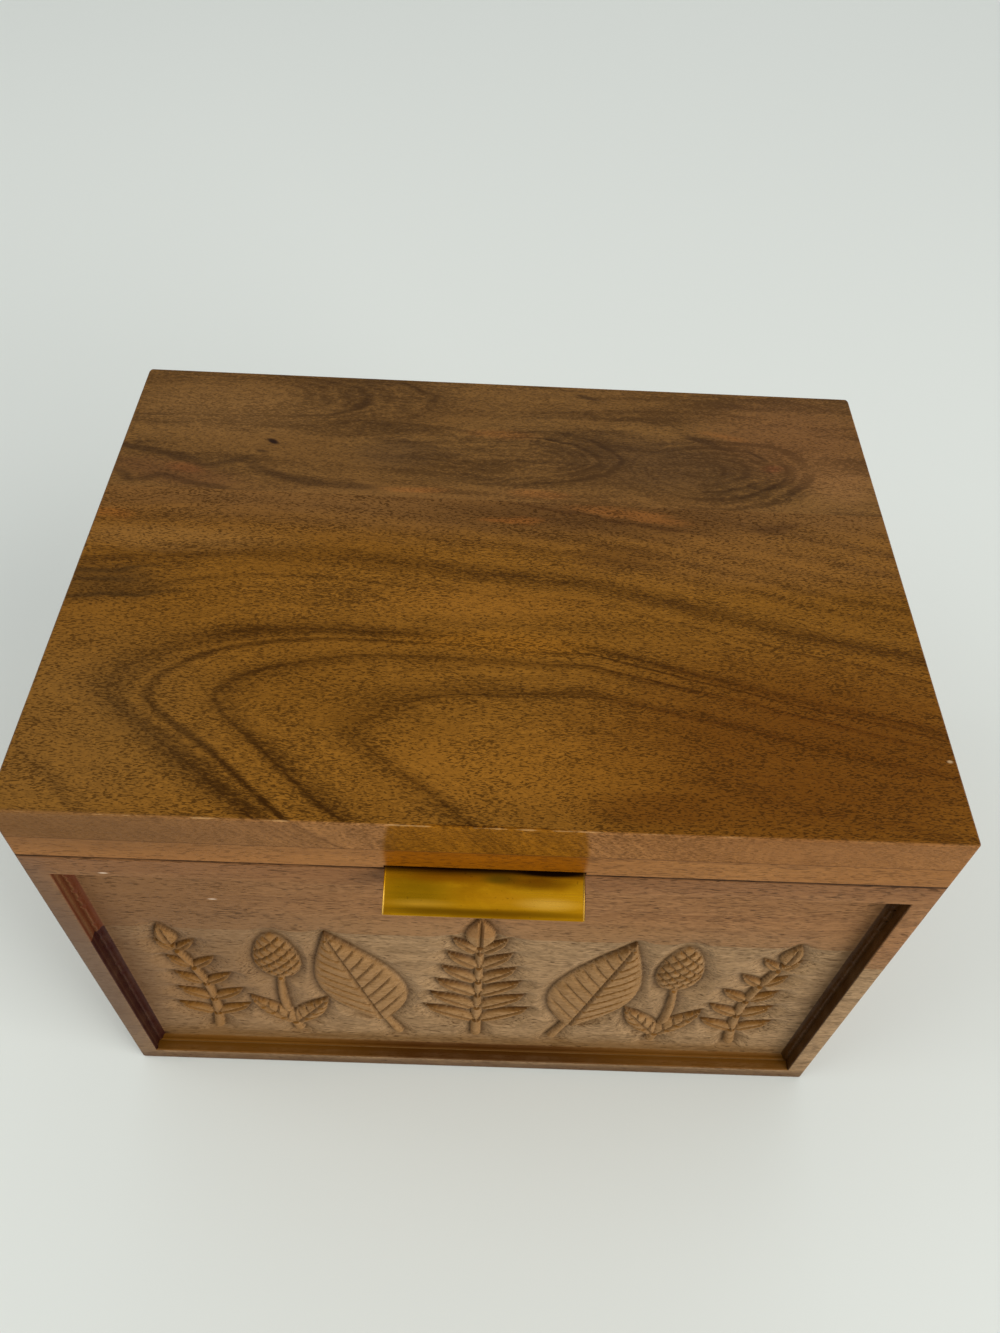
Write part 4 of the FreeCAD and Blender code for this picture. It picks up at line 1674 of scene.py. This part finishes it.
    @staticmethod
    def rear_tints() -> tuple[Mark, ...]:
        """Lists the broad changes of colour and the streaks of the lid's rear board.

        Returns:
            The marks in the order in which they are laid.
        """
        streak = (46, 28, 12)
        orange = (146, 90, 40)
        broad = (
            ((72.0, 48.0), (30.0, 24.0, 30.0), (120, 78, 44), 0.45, 0.0),
            ((-66.0, 50.0), (34.0, 15.0, 30.0), (132, 94, 50), 0.5, 0.0),
            ((38.0, 36.0), (34.0, 15.0, 30.0), (84, 58, 32), 0.5, 0.0),
            ((0.0, 21.0), (130.0, 7.0, 30.0), (124, 84, 40), 0.45, 0.0),
            ((80.0, 33.0), (14.0, 13.0, 30.0), (138, 95, 52), 0.55, 0.0),
            ((-76.0, 26.5), (26.0, 6.0, 30.0), (92, 57, 30), 0.6, -10.0),
            ((-72.2, 27.9), (6.0, 2.6, 10.0), (120, 70, 34), 0.5, -8.0),
        )
        trails = (
            (((-90.0, 35.6), (-77.3, 32.3), (-67.7, 29.2), (-60.6, 31.8)), 1.8, streak, 0.5),
            (((-59.5, 30.5), (-53.1, 27.5), (-47.3, 25.3), (-39.7, 24.3), (-29.0, 23.8)), 2.2, streak, 0.52),
            (((-89.0, 26.3), (-84.0, 23.0), (-77.1, 25.0), (-68.5, 22.5), (-60.0, 21.0)), 1.6, streak, 0.48),
        )
        small = (
            ((-24.0, 36.0), (16.0, 8.0, 10.0), (72, 50, 28), 0.45, 0.0),
            ((-19.0, 23.6), (11.0, 1.5, 10.0), orange, 0.5, 0.0),
            ((50.0, 45.5), (9.0, 1.8, 10.0), streak, 0.55, -26.0),
            ((62.5, 40.5), (4.5, 1.1, 10.0), streak, 0.6, -40.0),
            ((65.6, 36.4), (4.0, 2.0, 10.0), (120, 66, 36), 0.5, 0.0),
            ((55.5, 47.5), (8.0, 1.6, 10.0), orange, 0.35, -15.0),
            ((22.0, 61.0), (6.0, 0.9, 10.0), streak, 0.7, -12.0),
            ((0.0, 45.0), (12.0, 2.4, 10.0), orange, 0.35, 0.0),
            ((10.0, 23.8), (10.0, 2.2, 10.0), orange, 0.45, 0.0),
        )
        streaks = [mark for row in trails for mark in trail(*row)]
        return (*lid_marks(broad), *streaks, *lid_marks(small))

    @staticmethod
    def knots() -> tuple[Mark, ...]:
        """Lists the two small knots of the lid's rear board.

        Returns:
            The knots.
        """
        black = tone(30, 16, 10)
        return (
            Mark((-53.9, 38.6, LID_TOP), (2.3, 1.1, 3.0), black, 0.95, -30.0, core_share=0.35),
            Mark((-56.0, 34.9, LID_TOP), (2.6, 0.8, 3.0), black, 0.6, -12.0),
        )


@dataclass
class Pull:
    """Curved brass pull under the lid's front edge."""

    effects: Effects
    columns: int = 76
    rows: int = 40
    bend_from: float = -62.2
    bend_radius: float = 20.0
    bend_angle: float = 34.4
    thickness: float = 1.2
    edge_round: float = 0.35
    edge_segments: int = 3
    edge_angle: float = 60.0
    dents: float = 0.05
    dent_cell: Spot = (7.0, 5.0)
    dent_from: float = 4.0

    def build(self) -> None:
        """Draws the sheet flat, bends its front and thickens it."""
        high = node_box("lid_pull")[1]
        shape = bmesh.new()
        grid = bmesh.ops.create_grid(shape, x_segments=self.columns, y_segments=self.rows, size=1.0)["verts"]
        arc = self.bend_radius * math.radians(self.bend_angle)
        length = high.y - self.bend_from + arc
        for vert in grid:
            run = high.y - (1 - vert.co.y) / 2 * length
            past = max(0.0, self.bend_from - run)
            angle = past / self.bend_radius
            side = vert.co.x * high.x
            spot = (side / self.dent_cell[0], run / self.dent_cell[1], 0.0)
            dent = noise.noise(spot) * self.dents * min(1.0, past / self.dent_from)
            radius = self.bend_radius + dent
            drop = self.bend_radius - radius * math.cos(angle)
            vert.co = (side, max(run, self.bend_from) - radius * math.sin(angle), high.z - drop)
        bmesh.ops.recalc_face_normals(shape, faces=shape.faces)
        bmesh.ops.solidify(shape, geom=shape.faces[:], thickness=self.thickness)
        sharp = math.radians(self.edge_angle)
        rims = [edge for edge in shape.edges if edge.calc_face_angle(0.0) > sharp]
        round_off = {"offset": self.edge_round, "segments": self.edge_segments, "profile": 0.5}
        bmesh.ops.bevel(shape, geom=rims, affect="EDGES", material=-1, **round_off)
        finish = BrassFinish("pull_brass", spots=self.tarnish_and_light())
        finish_piece("pull_bent", shape, finish.build(self.effects), Body.LID, "lid_pull")

    @staticmethod
    def tarnish_and_light() -> tuple[Mark, ...]:
        """Lists the pull's smudges of patina and its painted light and shade: highlights, bright edges, dark
        bands and the shadow along the top under the lid.

        Returns:
            The marks in the order in which they are laid.
        """
        # Colour of the painted highlights along the edges.
        rim_highlight = (240, 196, 96)
        soft = 0.2
        rows = (
            # Painted shade with olive patina over the left half.
            ((-13.0, -69.5, 110.0), (11.0, 6.0, 4.0), (130, 94, 4), 0.7, soft),
            # Browner near the top on the left.
            ((-8.0, -66.6, 111.2), (13.0, 1.7, 1.4), (140, 82, 4), 0.65, soft),
            # Painted highlights, low on the left and on the right.
            ((-12.0, -71.3, 109.0), (9.0, 1.1, 1.5), (206, 150, 40), 0.8, soft),
            ((9.0, -70.3, 109.6), (13.0, 2.2, 2.4), (196, 136, 22), 0.5, soft),
            ((12.0, -70.8, 109.3), (8.0, 1.5, 2.0), (236, 180, 70), 0.65, soft),
            # Smudges of patina.
            ((3.0, -66.8, 111.1), (5.0, 1.3, 1.5), (88, 72, 10), 0.75, soft),
            ((10.0, -67.3, 110.9), (10.0, 2.0, 1.9), (112, 62, 4), 0.8, soft),
            # Painted shade in a band low on the pull.
            ((0.0, -72.4, 108.1), (40.0, 1.3, 1.8), (80, 48, 1), 0.92, soft),
            # Painted shadow where the pull runs under the lid.
            ((12.5, -65.3, 111.6), (8.5, 1.0, 1.0), (16, 8, 2), 0.95, 0.5),
            ((0.0, -64.6, 111.8), (60.0, 2.6, 1.2), (24, 12, 4), 0.97, 0.35),
            # Painted highlight along the left edge.
            ((-19.0, -71.5, 108.5), (0.5, 4.5, 9.0), rim_highlight, 0.55, 0.4),
            # Painted shade over the right edge.
            ((19.0, -69.0, 109.5), (0.6, 9.0, 9.0), (112, 88, 40), 0.8, 0.6),
            # Painted highlight along the bottom edge.
            ((0.0, -73.4, 107.6), (60.0, 0.4, 0.5), rim_highlight, 0.35, 0.5),
        )
        marks = []
        for centre, half, colour, share, core in rows:
            marks.append(Mark(centre, half, tone(*colour), share, core_share=core))
        return tuple(marks)


@dataclass
class Hinges:
    """The two butt hinges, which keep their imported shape."""

    effects: Effects

    def build(self) -> None:
        """Dresses leaves and pins."""
        finish = BrassFinish("hinge_brass", bright=tone(196, 138, 24), speck_share=0.5)
        dress(finish, self.effects, *(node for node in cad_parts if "_hinge_" in node))


@dataclass
class Screws:
    """Countersunk brass screws with slotted heads, in the hinges' leaves and under the pull."""

    effects: Effects
    head_radius: float = 1.75
    head_depth: float = 1.0
    crown: float = 0.08
    crown_share: float = 0.6
    shank_radius: float = 0.75
    point_length: float = 1.5
    slot_width: float = 0.5
    slot_depth: float = 0.4
    slot_share: float = 0.84
    slot_turn: float = 37.0
    hinge_margin: float = 5.0
    pull_margin: float = 8.0
    merge_distance: float = 1e-4
    segments: int = 32

    def screw(self, length: float) -> bmesh.types.BMesh:
        """Turns one screw, head up at the origin, and cuts its slot.

        Args:
            length: Length of the screw.

        Returns:
            A closed mesh in millimetres.
        """
        shape = bmesh.new()
        outline = (
            (0.0, self.crown),
            (self.head_radius * self.crown_share, self.crown * self.crown_share),
            (self.head_radius, 0.0),
            (self.shank_radius, -self.head_depth),
            (self.shank_radius, self.point_length - length),
            (0.0, -length),
        )
        verts = [shape.verts.new((across, 0.0, up)) for across, up in outline]
        edges = [shape.edges.new(pair) for pair in zip(verts, verts[1:])]
        turn = {"cent": ORIGIN, "axis": UP, "angle": math.tau, "steps": self.segments, "use_merge": True}
        bmesh.ops.spin(shape, geom=verts + edges, **turn)
        bmesh.ops.remove_doubles(shape, verts=shape.verts, dist=self.merge_distance)
        bmesh.ops.recalc_face_normals(shape, faces=shape.faces)
        half, reach = self.slot_width / 2, self.head_radius * self.slot_share
        for axis, edge in ((ACROSS, half), (DEEP, reach)):
            for side in (-1, 1):
                cut = {"plane_co": axis * edge * side, "plane_no": axis}
                bmesh.ops.bisect_plane(shape, geom=everything(shape), **cut)
        floor = []
        for face in shape.faces:
            spot = face.calc_center_median()
            if face.normal.z > HALF and abs(spot.x) < half and abs(spot.y) < reach:
                floor.append(face)
        sunk = only_verts(bmesh.ops.extrude_face_region(shape, geom=floor)["geom"])
        bmesh.ops.translate(shape, vec=-UP * self.slot_depth, verts=sunk)
        return shape

    def row(
        self, node: str, sides: Iterable[float], head_up: bool, body: Body, material: bpy.types.Material
    ) -> None:
        """Sets copies of the screw where a packed group of screws stands.

        Args:
            node: Packed screws that are replaced.
            sides: Place of each screw along the first axis.
            head_up: Whether the heads look up.
            body: Body that the screws move with.
            material: Finish of the screws.
        """
        low, high = node_box(node)
        shape = self.screw(high.z - low.z)
        first = everything(shape)
        flip = Matrix.Rotation(0.0 if head_up else math.pi, 3, "X")
        for index, side in enumerate(sides):
            verts = only_verts(bmesh.ops.duplicate(shape, geom=first)["geom"])
            turn = Matrix.Rotation(math.radians(self.slot_turn * index), 3, "Z")
            bmesh.ops.rotate(shape, cent=ORIGIN, matrix=flip @ turn, verts=verts)
            place = Vector((side, (low.y + high.y) / 2, high.z if head_up else low.z))
            bmesh.ops.translate(shape, vec=place, verts=verts)
        bmesh.ops.delete(shape, geom=only_verts(first), context="VERTS")
        finish_piece(f"{node}_slotted", shape, material, body, node)

    def build(self) -> None:
        """Makes the screws of both hinges and of the pull."""
        material = BrassFinish("screw_brass", bright=tone(206, 150, 44)).build(self.effects)
        hinge_sides = []
        for hand in ("left", "right"):
            low, high = node_box(f"{hand}_hinge_body_leaf")
            hinge_sides += [low.x + self.hinge_margin, high.x - self.hinge_margin]
        pull_side = node_box("lid_pull")[1].x - self.pull_margin
        self.row("body_leaf_screws", hinge_sides, True, Body.BOX, material)
        self.row("lid_leaf_screws", hinge_sides, False, Body.LID, material)
        self.row("pull_screws", (-pull_side, pull_side), False, Body.LID, material)


@dataclass
class Stage:
    """Pale floor, soft lamps and the camera."""

    floor_half: float = 3000.0
    floor_colour: Colour = tone(214, 216, 208)
    floor_rough: float = 0.7
    floor_gloss: float = 0.2
    sky_colour: Colour = tone(236, 241, 246)
    sky_strength: float = 0.70
    lamp_aim: Triple = (0.0, 0.0, 60.0)
    lamps: tuple[tuple[str, Triple, float, float], ...] = (
        ("key_lamp", (750.0, -450.0, 800.0), 600.0, 5.2),
        ("left_lamp", (-700.0, -150.0, 700.0), 700.0, 2.8),
        ("rear_lamp", (300.0, 1000.0, 700.0), 800.0, 0.8),
    )
    window_from: Triple = (560.0, -535.0, 100.0)
    window_spread: float = 34.0
    window_strength: float = 2.1
    camera_place: Triple = (-2.43, -161.59, 291.83)
    camera_turn: Triple = (38.958, -2.2436, 1.0898)
    camera_lens: float = 28.727
    camera_near: float = 10.0

    def floor(self) -> None:
        """Lays the floor under the box."""
        shape = bmesh.new()
        bmesh.ops.create_grid(shape, x_segments=1, y_segments=1, size=self.floor_half / METRE)
        mesh = bpy.data.meshes.new("floor")
        shape.to_mesh(mesh)
        shape.free()
        material, _, shader = new_material("floor_paint")
        shader["Base Color"].default_value = self.floor_colour
        shader["Roughness"].default_value = self.floor_rough
        shader["Specular IOR Level"].default_value = self.floor_gloss
        mesh.materials.append(material)
        place_object("floor", mesh)

    def sky(self) -> None:
        """Sets the pale light that comes from all round."""
        world = bpy.data.worlds.new("soft_sky")
        world.use_nodes = True
        background = world.node_tree.nodes["Background"]
        background.inputs["Color"].default_value = self.sky_colour
        background.inputs["Strength"].default_value = self.sky_strength
        bpy.context.scene.world = world

    def light(self) -> None:
        """Hangs the lamps and the window, each turned to the box."""
        aim = Vector(self.lamp_aim)
        for name, place, size, watts in self.lamps:
            lamp = bpy.data.lights.new(name, "AREA")
            lamp.size = size / METRE
            lamp.energy = watts
            holder = place_object(name, lamp)
            holder.location = Vector(place) / METRE
            holder.rotation_euler = (aim - Vector(place)).to_track_quat("-Z", "Y").to_euler()
        window = bpy.data.lights.new("window_light", "SUN")
        window.energy = self.window_strength
        window.angle = math.radians(self.window_spread)
        holder = place_object("window_light", window)
        holder.rotation_euler = (-Vector(self.window_from)).to_track_quat("-Z", "Y").to_euler()

    def camera(self) -> None:
        """Sets the camera where the photograph was taken from."""
        data = bpy.data.cameras.new("camera")
        data.lens = self.camera_lens
        data.clip_start = self.camera_near / METRE
        camera = place_object("camera", data)
        camera.location = Vector(self.camera_place) / METRE
        camera.rotation_euler = Euler([math.radians(angle) for angle in self.camera_turn], "XYZ")
        bpy.context.scene.camera = camera

    def build(self) -> None:
        """Sets up floor, light and camera."""
        bpy.context.scene.view_settings.view_transform = "Standard"
        self.floor()
        self.sky()
        self.light()
        self.camera()


def main() -> None:
    """Builds every part of the scene in order."""
    logging.basicConfig(level=logging.INFO, format="%(message)s")
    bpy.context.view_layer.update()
    effects = Effects()
    Boards(effects).build()
    CarvedFront(effects).build()
    Pull(effects).build()
    Hinges(effects).build()
    Screws(effects).build()
    Stage().build()


if __name__ == "__main__":
    main()
